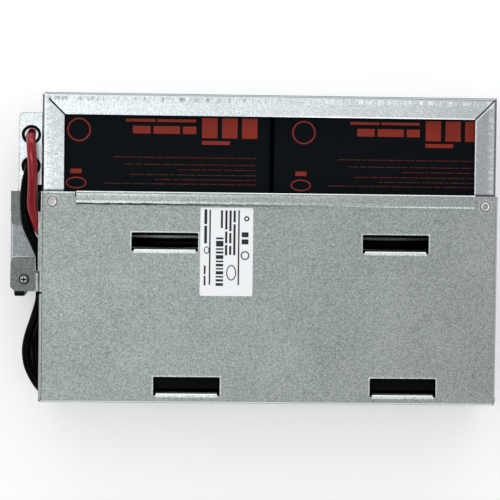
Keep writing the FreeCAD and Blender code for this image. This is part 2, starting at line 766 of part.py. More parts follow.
# ---- leads ----
def lead(points, name):
    """Round wire along straight runs joined by tangent arcs. Prints the radii and the length."""
    points = [Vector(*p) for p in points]
    runs = [(b - a).Length for a, b in zip(points, points[1:])]
    edges = []
    radii = []
    start = points[0]
    for before, corner, after, run_in, run_out in zip(points, points[1:], points[2:], runs, runs[1:]):
        into = (corner - before).normalize()
        out = (after - corner).normalize()
        turn = into.getAngle(out)
        reach = 0.45 * min(run_in, run_out)
        radius = reach / math.tan(turn / 2)
        first = corner - into * reach
        last = corner + out * reach
        inwards = (out - into).normalize()
        middle = corner + inwards * (radius / math.cos(turn / 2) - radius)
        edges.append(Part.LineSegment(start, first).toShape())
        edges.append(Part.Arc(first, middle, last).toShape())
        radii.append(radius)
        start = last
    edges.append(Part.LineSegment(start, points[-1]).toShape())
    path = Part.Wire(edges)
    section = Part.Wire(Part.makeCircle(lead_d / 2, points[0], points[1] - points[0]))
    body = path.makePipeShell([section], True, False)
    wanted = math.pi * lead_d ** 2 / 4 * path.Length
    print(f"{name}: length {path.Length:.0f} mm, volume / (section x length) {body.Volume / wanted:.4f}, "
          f"radii {' '.join(f'{r:.0f}' for r in radii)}")
    return body


def beside(out, along, above):
    """Point beside the left wall: out from it, behind the cover's back edge, above the ear's face."""
    return (-wall_x - out, cover_back + along, ear_top + above)


def round_corner(out, along, above):
    """Point beside the left wall's front end: out from it, behind the front lids, above the blades."""
    return (-wall_x - out, front_lid + along, terminal_z + above)


def in_channel(wire_y, share, aside, above):
    """Point in front of a row of lids: its share of the way from the middle to the right wall,
    how far it lies behind the wires' line, and how far above the blades."""
    return (share * wall_x, wire_y + aside, terminal_z + above)


red_points = [
    (plug_x, collar_y, pole_z[0]), (plug_x, collar_y + 6.5, pole_z[0]), beside(14.0, 5.25, -16.6),
    beside(14.5, 23.25, -19.2), beside(10.5, 36.25, -20.2), beside(7.9, 41.85, -12.2),
    beside(7.5, 34.35, 13.6), beside(5.7, 14.25, 13.2), beside(6.5, -1.25, 10.6),
    beside(6.8, -11.25, 8.8), beside(3.75, -21.25, 4.75), beside(1.6, -25.85, 3.5),
    beside(-0.7, -30.35, 0.4), beside(0.5, -33.25, -5.2), beside(2.1, -34.25, -11.0),
    beside(1.1, -34.25, -16.8), leaving(0, 0, -1, 1.15 * approach), mouth(0, 0, -1)]
black_points = [
    (plug_x, collar_y, pole_z[1]), (plug_x, collar_y + 8.2, pole_z[1]), beside(10.9, -6.25, -33.8),
    beside(4.7, 0.95, -33.7), beside(3.9, 9.25, -32.4), beside(6.1, 17.95, -26.1), beside(7.6, 20.25, -17.6),
    beside(7.6, 18.95, -9.6), beside(8.3, 16.25, 7.4), beside(11.3, 4.25, 5.4), beside(11.9, -8.25, 4.0),
    beside(10.6, -23.25, 3.55), beside(5.7, -33.25, 2.5), beside(1.0, -43.85, 1.4), beside(0.7, -49.65, -1.4),
    beside(0.8, -55.25, -5.2), beside(0.8, -64.25, -8.0), beside(1.5, -75.25, -9.6),
    round_corner(5.6, 44.9, 10.2), round_corner(8.9, 35.5, 9.8), round_corner(10.9, 25.1, 9.4),
    round_corner(9.6, 14.6, 9.6), round_corner(6.1, 6.9, 9.8), round_corner(1.9, 0.3, 10.3),
    round_corner(-2.5, -3.7, 10.8), round_corner(-9.2, -4.5, 11.2),
    in_channel(wire_y_front, -0.84, -0.1, 11.8), in_channel(wire_y_front, -0.65, -0.4, 12.4),
    in_channel(wire_y_front, -0.39, 0.0, 12.2), in_channel(wire_y_front, -0.06, -0.4, 12.6),
    in_channel(wire_y_front, 0.26, 0.1, 12.4), in_channel(wire_y_front, 0.5, -0.3, 11.0),
    in_channel(wire_y_front, 0.63, 0.0, 7.2), in_channel(wire_y_front, 0.73, -0.1, 2.2),
    leaving(3, 1, -1, approach), mouth(3, 1, -1)]
row_jumper_points = [
    mouth(1, 1, -1), leaving(1, 1, -1, approach), in_channel(wire_y_back, 0.72, 0.2, 2.6),
    in_channel(wire_y_back, 0.59, -0.1, 8.5), in_channel(wire_y_back, 0.36, 0.3, 13.2),
    in_channel(wire_y_back, 0.06, -0.2, 14.4), in_channel(wire_y_back, -0.26, 0.3, 14.4),
    in_channel(wire_y_back, -0.47, -0.3, 11.0), in_channel(wire_y_back, -0.62, 0.2, 2.5),
    in_channel(wire_y_back, -0.74, -0.1, -5.9), in_channel(wire_y_back, -0.83, 0.1, -7.9),
    beside(-6.7, -35.05, -28.6), beside(-0.3, -38.85, -27.8), beside(2.9, -45.65, -26.6),
    beside(2.3, -54.25, -25.2), beside(1.5, -63.25, -24.0), beside(1.7, -74.25, -23.2),
    round_corner(3.9, 47.5, -1.8),
    round_corner(5.5, 35.5, -1.2), round_corner(5.1, 23.5, -1.0), round_corner(4.1, 13.5, -0.8),
    round_corner(2.9, 6.0, -0.6), round_corner(1.3, 0.5, -0.3), round_corner(-2.3, -3.2, 0.0),
    leaving(2, 0, -1, approach / 2), mouth(2, 0, -1)]


def loop_points(left_battery, right_battery, rise):
    """Jumper that leaves two neighbouring blades away from each other and passes above or below them."""
    start = mouth(left_battery, 1, -1)
    end = mouth(right_battery, 0, 1)
    cut = abs(rise) / 2 * (1 - math.tan(math.pi / 8))
    step = math.copysign(cut, rise)
    left = start[0] - loop_lead_in
    right = end[0] + loop_lead_in
    y = start[1]
    z = start[2]
    return [start, (left, y, z), (left - cut, y, z + step), (left - cut, y, z + rise - step),
            (left, y, z + rise), (right, y, z + rise), (right + cut, y, z + rise - step),
            (right + cut, y, z + step), (right, y, z), end]


# ---- connector and bracket ----
def connector_bracket():
    plate_front = tab_front
    plate_back = tab_back - ear_gap
    panel_front = plate_front + panel_inset
    panel_back = plate_back - panel_inset
    plate = block(panel_x, bracket_right, plate_front, plate_back, bracket_top - sheet, bracket_top)
    plate = plate.cut(tab_front_corner(bracket_top - sheet, bracket_top))
    plate = plate.cut(block(panel_x - 1, panel_x + bend_out, panel_front, panel_back,
                            bracket_top - bend_out, bracket_top + 1))
    section = [(panel_x + 3 * bend_out, bracket_top), (panel_x, bracket_top), (panel_x, bracket_foot)]
    folded = bent_sheet(section, [bend_in], across_x(panel_front), Vector(0, panel_back - panel_front, 0))
    feet = [e for e in folded.Edges
            if abs(e.tangentAt(e.FirstParameter).x) > 0.9 and e.CenterOfMass.z < bracket_foot + sheet / 2]
    folded = folded.makeFillet(tab_corner, feet)
    body = plate.fuse(folded)
    body = body.cut(tab_holes(bracket_top - 2 * sheet, bracket_top + 1))
    for y in boss_y:
        body = body.cut(rod(small_shank / 2 + seat, (panel_x - 1, y, plug_mid_z),
                            (panel_x + 2 * sheet, y, plug_mid_z)))
    return one_solid(body)


def connector_housing():
    """Two-pole housing. Its mating nose points to the front, its two wire collars to the back."""
    x0 = plug_x - plug_width / 2
    x1 = plug_x + plug_width / 2
    body = block(x0, x1, plug_front, plug_back, plug_low, plug_high)
    body = body.makeFillet(plug_soft, body.Edges)
    nose_low = plug_low + nose_inset
    nose_high = plug_high - nose_inset
    tip = plug_front - nose_reach

    def ring(y, inset):
        half = nose_width / 2 - inset
        low = nose_low + inset
        high = nose_high - inset
        corners = [Vector(plug_x - half, y, low), Vector(plug_x + half, y, low),
                   Vector(plug_x + half, y, high), Vector(plug_x - half, y, high)]
        return Part.makePolygon(corners + corners[:1])

    rings = [ring(plug_front + 2 * plug_soft, 0), ring(tip + nose_tip, 0), ring(tip, nose_taper)]
    nose = Part.makeLoft(rings, True, True)
    body = body.fuse(nose)
    for z in pole_z:
        body = body.fuse(rod(collar_outer / 2, (plug_x, plug_back - 2 * plug_soft, z), (plug_x, collar_y, z)))
        body = body.cut(block(plug_x - port_wide / 2, plug_x + port_wide / 2, tip - 1, tip + port_deep,
                              z - port_high / 2, z + port_high / 2))
        body = body.cut(contact(z))
    for y in boss_y:
        body = body.cut(rod((small_shank + screw_clearance) / 2, (x0 - 1, y, plug_mid_z),
                            (x1 + 1, y, plug_mid_z)))
    return one_solid(body)


def contact(z):
    """Flat contact of one pole, whose root is held at the end of its port."""
    root = plug_front - nose_reach + port_deep + contact_root
    return block(plug_x - contact_thick / 2, plug_x + contact_thick / 2, root - contact_long, root,
                 z - contact_high / 2, z + contact_high / 2)


# ---- fasteners ----
def turned(profile, at, direction):
    """Solid of revolution. The profile is (radius, height) corners, the height runs along the direction."""
    points = [Vector(r, 0, h) for r, h in profile]
    body = Part.Face(Part.makePolygon(points + points[:1])).revolve(Vector(0, 0, 0), Vector(0, 0, 1), 360)
    body.Placement = FreeCAD.Placement(Vector(*at), FreeCAD.Rotation(Vector(0, 0, 1), Vector(*direction)))
    return body


def blind_rivet(at, direction, grip):
    """Set blind rivet: domed head with the broken mandrel in its eye, shank, and flared tail."""
    r = rivet_head / 2
    eye = rivet_eye / 2
    stub = rivet_stub / 2
    high = rivet_head_high
    tail = rivet_tail_high
    profile = [(0, 0.6 * high), (0.8 * stub, 0.55 * high), (stub, 0.15 * high), (0.85 * eye, 0.15 * high),
               (eye, 0.9 * high), (0.68 * r, high), (0.88 * r, 0.75 * high), (r, 0.3 * high), (r, 0),
               (rivet_shank / 2, 0), (rivet_shank / 2, -grip), (rivet_tail / 2, -grip - 0.2 * tail),
               (rivet_tail / 2, -grip - 0.7 * tail), (0.5 * rivet_shank, -grip - tail), (0, -grip - tail)]
    return turned(profile, at, direction)


def cover_rivets():
    top_grip = 2 * sheet + seat
    side_grip = 2 * sheet + wrap_gap
    solids = []
    for side in (-1, 1):
        solids.append(blind_rivet((side * top_rivet_x, top_rivet_y, cover_top), (0, 0, 1), top_grip))
        solids.append(blind_rivet((side * skirt_x, side_rivet_y, side_rivet_z), (side, 0, 0), side_grip))
    return group(solids)


def cross_arm(half_x, half_y, floor, top):
    """One tapered arm of a cross recess, from its floor to the top of the head."""
    rings = []
    for z, share in ((floor, recess_narrowing), (top, 1)):
        x = half_x * share
        y = half_y * share
        corners = [Vector(-x, -y, z), Vector(x, -y, z), Vector(x, y, z), Vector(-x, y, z)]
        rings.append(Part.makePolygon(corners + corners[:1]))
    return Part.makeLoft(rings, True, True)


def pan_screw(at, direction, shank, head, head_high, length, recess):
    """Pan-head screw with a cross recess. The head stands on the point, along the direction."""
    r = head / 2
    profile = [(0, head_high), (0.55 * r, 0.96 * head_high), (0.85 * r, 0.72 * head_high),
               (r, 0.35 * head_high), (r, 0), (shank / 2, 0), (shank / 2, screw_point - length),
               (shank / 2 - screw_point, -length), (0, -length)]
    body = turned(profile, (0, 0, 0), (0, 0, 1))
    for half_x, half_y in ((recess / 2, recess_wide / 2), (recess_wide / 2, recess / 2)):
        body = body.cut(cross_arm(half_x, half_y, head_high - recess_deep, head_high))
    body.Placement = FreeCAD.Placement(Vector(*at), FreeCAD.Rotation(Vector(0, 0, 1), Vector(*direction)))
    return body


def bracket_screw():
    return pan_screw((tab_fixing_x, bracket_screw_y, ear_top), (0, 0, 1), screw_shank, screw_head,
                     screw_head_high, screw_long, recess_long)


def bracket_rivet():
    """Solid rivet with a low flat head, so that the leads can lie over it."""
    r = flat_head / 2
    grip = 2 * sheet + seat
    profile = [(0, flat_head_high), (0.8 * r, flat_head_high), (r, 0.4 * flat_head_high), (r, 0),
               (rivet_shank / 2, 0), (rivet_shank / 2, -grip), (flat_tail / 2, -grip),
               (flat_tail / 2, -grip - 0.6 * flat_tail_high), (0.3 * flat_tail, -grip - flat_tail_high),
               (0, -grip - flat_tail_high)]
    return turned(profile, (tab_fixing_x, bracket_rivet_y, ear_top), (0, 0, 1))


def connector_screws():
    x = plug_x + plug_width / 2
    length = x - panel_x
    return group([pan_screw((x, y, plug_mid_z), (1, 0, 0), small_shank, small_head, small_head_high, length,
                            small_recess_long) for y in boss_y])


def bracket_nut():
    """Round clinch nut under the bracket's plate."""
    x = tab_fixing_x
    y = bracket_screw_y
    z = bracket_top - sheet
    nut = rod(nut_round / 2, (x, y, z - nut_high), (x, y, z))
    return nut.cut(rod(screw_shank / 2 + seat, (x, y, z - nut_high - 1), (x, y, z + 1)))


# ---- grommets ----
def grommet(y):
    """Snap grommet: flange on the ear, barrel through it and a snap ridge under it."""
    barrel = (grommet_hole - grommet_fit) / 2
    bore = grommet_bore / 2
    flange = grommet_flange / 2
    low = tab_low - grommet_below
    high = grommet_flange_high
    profile = [(bore, ear_top + 0.4 * high), (bore + 0.5, ear_top + 0.9 * high), (bore + 0.9, ear_top + high),
               (flange - 0.5, ear_top + 0.8 * high), (flange, ear_top + 0.35 * high),
               (flange, ear_top + seat), (barrel, ear_top + seat),
               (barrel, tab_low - seat), (barrel + grommet_snap, tab_low - seat - 0.3),
               (barrel - 0.2, low), (bore, low)]
    return turned(profile, (grommet_x, y, 0), (0, 0, 1))


# ---- label ----
def rating_label():
    return rounded_block(label_left, label_left + label_wide, label_back - label_long, label_back,
                         cover_top, cover_top + label_thick, label_corner)


# ---- all nodes ----
nodes = {
    "tray": tray(),
    "cover": cover(),
    "cover_rivets": cover_rivets(),
    "connector_bracket": connector_bracket(),
    "connector_housing": connector_housing(),
    "connector_contacts": group([contact(z) for z in pole_z]),
    "connector_screws": connector_screws(),
    "bracket_screw": bracket_screw(),
    "bracket_rivet": bracket_rivet(),
    "bracket_nut": bracket_nut(),
    "grommet_back": grommet(grommet_y[0]),
    "grommet_front": grommet(grommet_y[1]),
    "rating_label": rating_label(),
    "positive_lead": lead(red_points, "positive_lead"),
    "negative_lead": lead(black_points, "negative_lead"),
    "row_jumper": lead(row_jumper_points, "row_jumper"),
    "back_jumper": lead(loop_points(0, 1, back_loop_rise), "back_jumper"),
    "front_jumper": lead(loop_points(2, 3, front_loop_rise), "front_jumper"),
    "positive_sleeves": sleeves([(0, 0, -1), (1, 0, 1), (2, 0, -1), (3, 0, 1)]),
    "negative_sleeves": sleeves([(0, 1, -1), (1, 1, -1), (2, 1, -1), (3, 1, -1)]),
}
for number, (x, lid_y) in enumerate(batteries, 1):
    nodes[f"battery_case_{number}"] = battery_case(x, lid_y)
    nodes[f"battery_lid_{number}"] = battery_lid(x, lid_y)
    nodes[f"vent_strip_{number}"] = vent_strip(x, lid_y)
    nodes[f"battery_blades_{number}"] = blades(x, lid_y)

for name, shape in nodes.items():
    if not shape.isValid():
        print(name, "is not valid")
    export(shape, name)
    box = shape.BoundBox
    print(f"{name}: {len(shape.Solids)} solid, {shape.Volume / 1000:.1f} cm3, "
          f"x {box.XMin:.2f} {box.XMax:.2f} y {box.YMin:.2f} {box.YMax:.2f} z {box.ZMin:.2f} {box.ZMax:.2f}")
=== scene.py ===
"""A rack battery cartridge lying on a white table under a wide soft lamp.

The sheet metal, batteries, leads and fasteners are the frame's own nodes and only get their finish here. The ink on
the batteries and on the rating label is added as thin closed blocks and rings, as fields, bars and plain rings.
"""

import math

import bpy
import numpy as np
from mathutils import Matrix, Vector


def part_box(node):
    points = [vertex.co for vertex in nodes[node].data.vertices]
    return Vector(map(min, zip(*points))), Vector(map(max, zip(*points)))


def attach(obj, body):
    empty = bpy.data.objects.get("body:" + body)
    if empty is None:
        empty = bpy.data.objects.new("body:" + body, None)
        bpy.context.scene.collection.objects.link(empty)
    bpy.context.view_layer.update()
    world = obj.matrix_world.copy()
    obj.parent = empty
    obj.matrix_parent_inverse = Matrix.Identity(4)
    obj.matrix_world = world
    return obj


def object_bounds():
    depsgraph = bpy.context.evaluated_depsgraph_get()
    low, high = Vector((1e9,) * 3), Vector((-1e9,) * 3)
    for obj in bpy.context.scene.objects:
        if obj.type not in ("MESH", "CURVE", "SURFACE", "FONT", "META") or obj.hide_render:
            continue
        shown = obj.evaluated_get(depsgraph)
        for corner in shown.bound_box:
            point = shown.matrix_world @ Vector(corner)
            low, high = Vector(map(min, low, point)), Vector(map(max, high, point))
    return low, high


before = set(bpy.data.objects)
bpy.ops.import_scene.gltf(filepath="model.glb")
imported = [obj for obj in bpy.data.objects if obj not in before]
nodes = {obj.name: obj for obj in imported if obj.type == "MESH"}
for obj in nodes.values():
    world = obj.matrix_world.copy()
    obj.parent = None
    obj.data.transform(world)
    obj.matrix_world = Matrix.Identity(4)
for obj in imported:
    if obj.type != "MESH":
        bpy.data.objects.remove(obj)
cad_low, cad_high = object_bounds()

MM = 0.001


# ---------------------------------------------------------------- materials


def linear(hex_colour):
    """An sRGB hex colour as linear RGBA: each channel c becomes ((c + 0.055) / 1.055) to the power 2.4, or c / 12.92
    where it is very dark."""
    channels = [int(hex_colour[start : start + 2], 16) / 255 for start in (1, 3, 5)]
    curved = [c / 12.92 if c <= 0.04045 else ((c + 0.055) / 1.055) ** 2.4 for c in channels]
    return (*curved, 1.0)


def add(tree, kind, sockets=(), **settings):
    """Adds one node. Each socket, by name or number, takes a plain value or the output that feeds it."""
    node = tree.nodes.new(kind)
    for name, value in settings.items():
        setattr(node, name, value)
    for socket, value in dict(sockets).items():
        if isinstance(value, bpy.types.NodeSocket):
            tree.links.new(value, node.inputs[socket])
        else:
            node.inputs[socket].default_value = value
    return node


def per(size):
    """The scale of a pattern whose grains are this many millimetres across."""
    return 1 / (size * MM)


def finish(name, colour, roughness, **sockets):
    """A material with one Principled shader. Returns the material, its tree, its shader and its object coordinates."""
    made = bpy.data.materials.new(name)
    made.use_nodes = True
    tree = made.node_tree
    tree.nodes.clear()
    shader = add(tree, "ShaderNodeBsdfPrincipled", {"Base Color": linear(colour), "Roughness": roughness})
    for socket, value in sockets.items():
        shader.inputs[socket.replace("_", " ")].default_value = value
    add(tree, "ShaderNodeOutputMaterial", {"Surface": shader.outputs["BSDF"]})
    place = add(tree, "ShaderNodeTexCoord").outputs["Object"]
    return made, tree, shader, place


def feed(tree, shader, **outputs):
    """Links outputs to the shader's sockets. A socket's name has _ for each space."""
    for socket, output in outputs.items():
        tree.links.new(output, shader.inputs[socket.replace("_", " ")])


# Sizes of the zinc's patterns in mm. Its crystals are a few tenths of a millimetre across, which is too fine to show,
# so they are drawn at 0.65 mm, with a grain of 0.9 mm over them.
crystal_size = 0.65
grain_size = 0.9
cloud_size = 45
# What the crystals and the clouds count beside the grain, and the sums at which the sheet is dullest and brightest.
crystal_weight = 0.3
cloud_weight = 0.25
speckle_span = (0.45, 1.1)
# The largest part of the normal where a fold starts to show and where it is in full.
fold_span = (0.998, 0.96)
fold_gloss = 0.28
# The painted shade on a fold where it turns down.
painted_fold_shade = "#565c5f"
# How far a finish's roughness goes up and down across its surface.
gloss_change = 0.05


def zinc_sheet(name, dull, bright, gloss, painted_fold_tones, marks):
    """Continuously galvanised steel sheet. The eye sees fine crystals under a millimetre across, each a little lighter
    or darker than the next, under faint clouds some centimetres wide. On the outside of a fold the zinc is smoother,
    and
    its colour there is painted light: one tone for folds along Y and one for folds along X, and painted shade where the
    fold turns down. What marks gives lies under the folds' tone or over it: each mark's colour multiplies the sheet's
    as far as its share at the place says, and the product stays at or under white."""
    made, tree, shader, place = finish(name, bright, gloss, Metallic=1.0)
    crystals = add(tree, "ShaderNodeTexVoronoi", {"Vector": place, "Scale": per(crystal_size)})
    facet = add(tree, "ShaderNodeSeparateColor", {"Color": crystals.outputs["Color"]})
    fine = add(tree, "ShaderNodeTexNoise", {"Vector": place, "Scale": per(grain_size), "Detail": 2.0})
    clouds = add(tree, "ShaderNodeTexNoise", {"Vector": place, "Scale": per(cloud_size), "Detail": 2.0})
    speckle = fine.outputs["Fac"]
    for pattern, weight in ((facet.outputs["Red"], crystal_weight), (clouds.outputs["Fac"], cloud_weight)):
        speckle = add(
            tree, "ShaderNodeMath", {0: pattern, 1: weight, 2: speckle}, operation="MULTIPLY_ADD"
        ).outputs[0]
    share = add(
        tree, "ShaderNodeMapRange", {"Value": speckle, "From Min": speckle_span[0], "From Max": speckle_span[1]}
    )
    tone = add(
        tree, "ShaderNodeMix", {0: share.outputs[0], 6: linear(dull), 7: linear(bright)}, data_type="RGBA"
    )

    # A bend faces between the axes, so the largest part of its normal is well under 1.
    facing = add(
        tree,
        "ShaderNodeVectorMath",
        {0: add(tree, "ShaderNodeTexCoord").outputs["Normal"]},
        operation="ABSOLUTE",
    )
    split = add(tree, "ShaderNodeSeparateXYZ", {"Vector": facing.outputs[0]})
    flat = add(tree, "ShaderNodeMath", {0: split.outputs[0], 1: split.outputs[1]}, operation="MAXIMUM")
    flat = add(tree, "ShaderNodeMath", {0: flat.outputs[0], 1: split.outputs[2]}, operation="MAXIMUM")
    fold = add(
        tree, "ShaderNodeMapRange", {"Value": flat.outputs[0], "From Min": fold_span[0], "From Max": fold_span[1]}
    )
    # Painted light on the folds: one tone for folds along Y, one for folds along X, and painted shade where a fold
    # turns down.
    along_x = add(tree, "ShaderNodeMapRange", {"Value": split.outputs[1], "From Min": 0.02, "From Max": 0.1})
    fold_light_and_shade = add(
        tree,
        "ShaderNodeMix",
        {0: along_x.outputs[0], 6: linear(painted_fold_tones[0]), 7: linear(painted_fold_tones[1])},
        data_type="RGBA",
    )
    down = add(tree, "ShaderNodeMapRange", {"Value": split.outputs[2], "From Min": 0.7, "From Max": 0.5})
    fold_light_and_shade = add(
        tree,
        "ShaderNodeMix",
        {0: down.outputs[0], 6: fold_light_and_shade.outputs[2], 7: linear(painted_fold_shade)},
        data_type="RGBA",
    )

    before, after = marks(tree, place)
    layers = [(*mark, "MULTIPLY") for mark in before]
    layers += [(fold.outputs[0], fold_light_and_shade.outputs[2], "MIX")]
    layers += [(*mark, "MULTIPLY") for mark in after]
    for part, colour, blend in layers:
        tone = add(
            tree,
            "ShaderNodeMix",
            {0: part, 6: tone.outputs[2], 7: colour},
            data_type="RGBA",
            blend_type=blend,
            clamp_result=True,
        )

    worn = add(
        tree,
        "ShaderNodeMapRange",
        {"Value": share.outputs[0], "To Min": gloss + gloss_change, "To Max": gloss - gloss_change},
    )
    sheen = add(
        tree, "ShaderNodeMix", {0: fold.outputs[0], 2: worn.outputs[0], 3: fold_gloss}, data_type="FLOAT"
    )
    relief = add(tree, "ShaderNodeBump", {"Height": speckle, "Distance": 0.015 * MM, "Strength": 1.0})
    feed(tree, shader, Base_Color=tone.outputs[2], Roughness=sheen.outputs[0], Normal=relief.outputs[0])
    return made


def grey(level):
    """A colour that multiplies all three channels alike: darker under 1, brighter over 1."""
    return (level, level, level, 1.0)


# Where things lie on the tray and on the cover's plate, in metres.
ear_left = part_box("tray")[0].x
wall_x, back_y, tray_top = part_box("tray")[1]
plate_back = back_y - 67.2 * MM
plate_left = -wall_x - 1.3 * MM
plate_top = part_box("rating_label")[0].z
between_tabs = back_y - 123 * MM
hem_back = plate_back + 0.8 * MM
hem_depth = 9.4 * MM
hem_left = -wall_x + 23.4 * MM
hem_right = wall_x - 14.5 * MM
ear_back = plate_back + 53.6 * MM
ear_corner = 3.5 * MM
rivet_x = wall_x - 7.3 * MM
rivet_y = plate_back - 6.9 * MM

# The marks on the tray's lips, in metres. A pair of distances from the lip's outer edge is where a mark starts and
# where it is at its full strength.
lip_middle = wall_x - 10 * MM
# The half size of the painted shadow on each side lip along the cover's back edge.
lip_shadow_half = (10 * MM, 0.6 * MM)
# Half the width of the painted shade along each mitre, and how far the painted highlight beside it reaches.
mitre_half = 0.8 * MM
mitre_highlight_width = 2.0 * MM
lip_shade_span = (1.5 * MM, 7 * MM)
cut_edge = (13.8 * MM, 14.1 * MM)
brake_inner = (6.5 * MM, 4.5 * MM)
brake_outer = (2.2 * MM, 3 * MM)
# The tone of a punched edge, which multiplies the sheet's: a warm grey.
punched = (0.62, 0.6, 0.56, 1.0)
# The brake's scores in mm, coarser than real ones, which are too fine to show, and how they are drawn out.
score_size = 2.2
score_stretch = 0.25


def within(tree, place, centre, half, soft):
    """1 inside an upright box and 0 outside it, in X and Y: the larger of the two distances past its sides, turned
    from soft outside them to their line."""
    offset = add(tree, "ShaderNodeVectorMath", {0: place, 1: (*centre, 0)}, operation="SUBTRACT")
    offset = add(tree, "ShaderNodeVectorMath", {0: offset.outputs[0]}, operation="ABSOLUTE")
    offset = add(tree, "ShaderNodeVectorMath", {0: offset.outputs[0], 1: (*half, 0)}, operation="SUBTRACT")
    past = add(tree, "ShaderNodeSeparateXYZ", {"Vector": offset.outputs[0]})
    past = add(tree, "ShaderNodeMath", {0: past.outputs[0], 1: past.outputs[1]}, operation="MAXIMUM")
    return add(tree, "ShaderNodeMapRange", {"Value": past.outputs[0], "From Min": soft, "From Max": 0.0}).outputs[0]


def tray_marks_and_light(tree, place):
    """The side lips get painted shade towards their inner edges. Short scores cross the lips where the press brake held
    them, within 6 mm of their outer edges: noise drawn out along Y marks the back lip, noise drawn out along X marks
    the side lips. Painted light makes the scores dark at the left and bright at the right, where the lips' cut edges
    get a painted highlight too. A painted shadow lies on the side lips along the cover's back edge, and painted shade
    along each mitre. The ear gets a little painted shade, with a darker rim where it was punched: there the distance
    from the middle of its round corner comes near the corner's radius."""
    spot = add(tree, "ShaderNodeSeparateXYZ", {"Vector": place})
    across = add(tree, "ShaderNodeMath", {0: spot.outputs[0]}, operation="ABSOLUTE")
    from_side = add(tree, "ShaderNodeMath", {0: wall_x, 1: across.outputs[0]}, operation="SUBTRACT")
    from_back = add(tree, "ShaderNodeMath", {0: back_y, 1: spot.outputs[1]}, operation="SUBTRACT")
    on_side = add(tree, "ShaderNodeMath", {0: from_side.outputs[0], 1: from_back.outputs[0]}, operation="LESS_THAN")
    # Painted shade on the side lips, growing towards their inner edges.
    inwards = add(
        tree,
        "ShaderNodeMapRange",
        {"Value": from_side.outputs[0], "From Min": lip_shade_span[0], "From Max": lip_shade_span[1]},
    )
    painted_lip_shade = add(tree, "ShaderNodeMath", {0: on_side.outputs[0], 1: inwards.outputs[0]}, operation="MULTIPLY")
    # How far a place is towards the right, where painted light brightens the lips.
    painted_light_to_right = add(
        tree, "ShaderNodeMapRange", {"Value": spot.outputs[0], "From Min": -20 * MM, "From Max": 60 * MM}
    )
    parts = [(painted_lip_shade.outputs[0], grey(0.72))]
    # A painted shadow on each side lip along the cover's back edge.
    for side in (-1, 1):
        on_lip_shadow = within(tree, place, (side * lip_middle, plate_back + 0.7 * MM), lip_shadow_half, 0.3 * MM)
        parts.append((on_lip_shadow, grey(0.2)))
    for distance, stretch, level in (
        (from_back, (1, score_stretch, score_stretch), 0.42),
        (from_side, (score_stretch, 1, score_stretch), 0.65),
    ):
        drawn = add(tree, "ShaderNodeMapping", {"Vector": place, "Scale": stretch})
        scores = add(
            tree, "ShaderNodeTexNoise", {"Vector": drawn.outputs[0], "Scale": per(score_size), "Detail": 4.0}
        )
        mark = add(tree, "ShaderNodeMapRange", {"Value": scores.outputs["Fac"], "From Min": 0.46, "From Max": 0.66})
        for start, end in (brake_inner, brake_outer):
            limit = add(
                tree, "ShaderNodeMapRange", {"Value": distance.outputs[0], "From Min": start, "From Max": end}
            )
            mark = add(tree, "ShaderNodeMath", {0: mark.outputs[0], 1: limit.outputs[0]}, operation="MULTIPLY")
        # The scores are real marks; their change from dark at the left to bright at the right is painted light.
        score_tone_and_light = add(tree, "ShaderNodeMix", {0: painted_light_to_right.outputs[0], 6: grey(level), 7: grey(1.5)}, data_type="RGBA")
        parts.append((mark.outputs[0], score_tone_and_light.outputs[2]))

    # The mitre is where both distances are the same: painted shade lies along it. A painted highlight runs beside it on
    # the side lip, and along the lips' cut edges, growing towards the right.
    apart = add(tree, "ShaderNodeMath", {0: from_side.outputs[0], 1: from_back.outputs[0]}, operation="SUBTRACT")
    width = add(tree, "ShaderNodeMath", {0: apart.outputs[0]}, operation="ABSOLUTE")
    mitre = add(tree, "ShaderNodeMath", {0: width.outputs[0], 1: mitre_half}, operation="LESS_THAN")
    parts.append((mitre.outputs[0], grey(0.15)))
    inner = add(tree, "ShaderNodeMath", {0: from_side.outputs[0], 1: from_back.outputs[0]}, operation="MINIMUM")
    inner = add(
        tree, "ShaderNodeMapRange", {"Value": inner.outputs[0], "From Min": cut_edge[0], "From Max": cut_edge[1]}
    )
    along = add(tree, "ShaderNodeMath", {0: apart.outputs[0], 1: -mitre_half}, operation="LESS_THAN")
    near = add(tree, "ShaderNodeMath", {0: apart.outputs[0], 1: -mitre_highlight_width}, operation="GREATER_THAN")
    along = add(tree, "ShaderNodeMath", {0: along.outputs[0], 1: near.outputs[0]}, operation="MULTIPLY")
    edge = add(tree, "ShaderNodeMath", {0: inner.outputs[0], 1: along.outputs[0]}, operation="MAXIMUM")
    edge = add(tree, "ShaderNodeMath", {0: edge.outputs[0], 1: painted_light_to_right.outputs[0]}, operation="MULTIPLY")
    parts.append((edge.outputs[0], grey(1.9)))

    # The walls below the lips stay plain.
    on_lips = add(tree, "ShaderNodeMath", {0: spot.outputs[2], 1: tray_top - 2 * MM}, operation="GREATER_THAN")
    on_top = []
    for part, colour in parts:
        kept = add(tree, "ShaderNodeMath", {0: on_lips.outputs[0], 1: part}, operation="MULTIPLY")
        on_top.append((kept.outputs[0], colour))

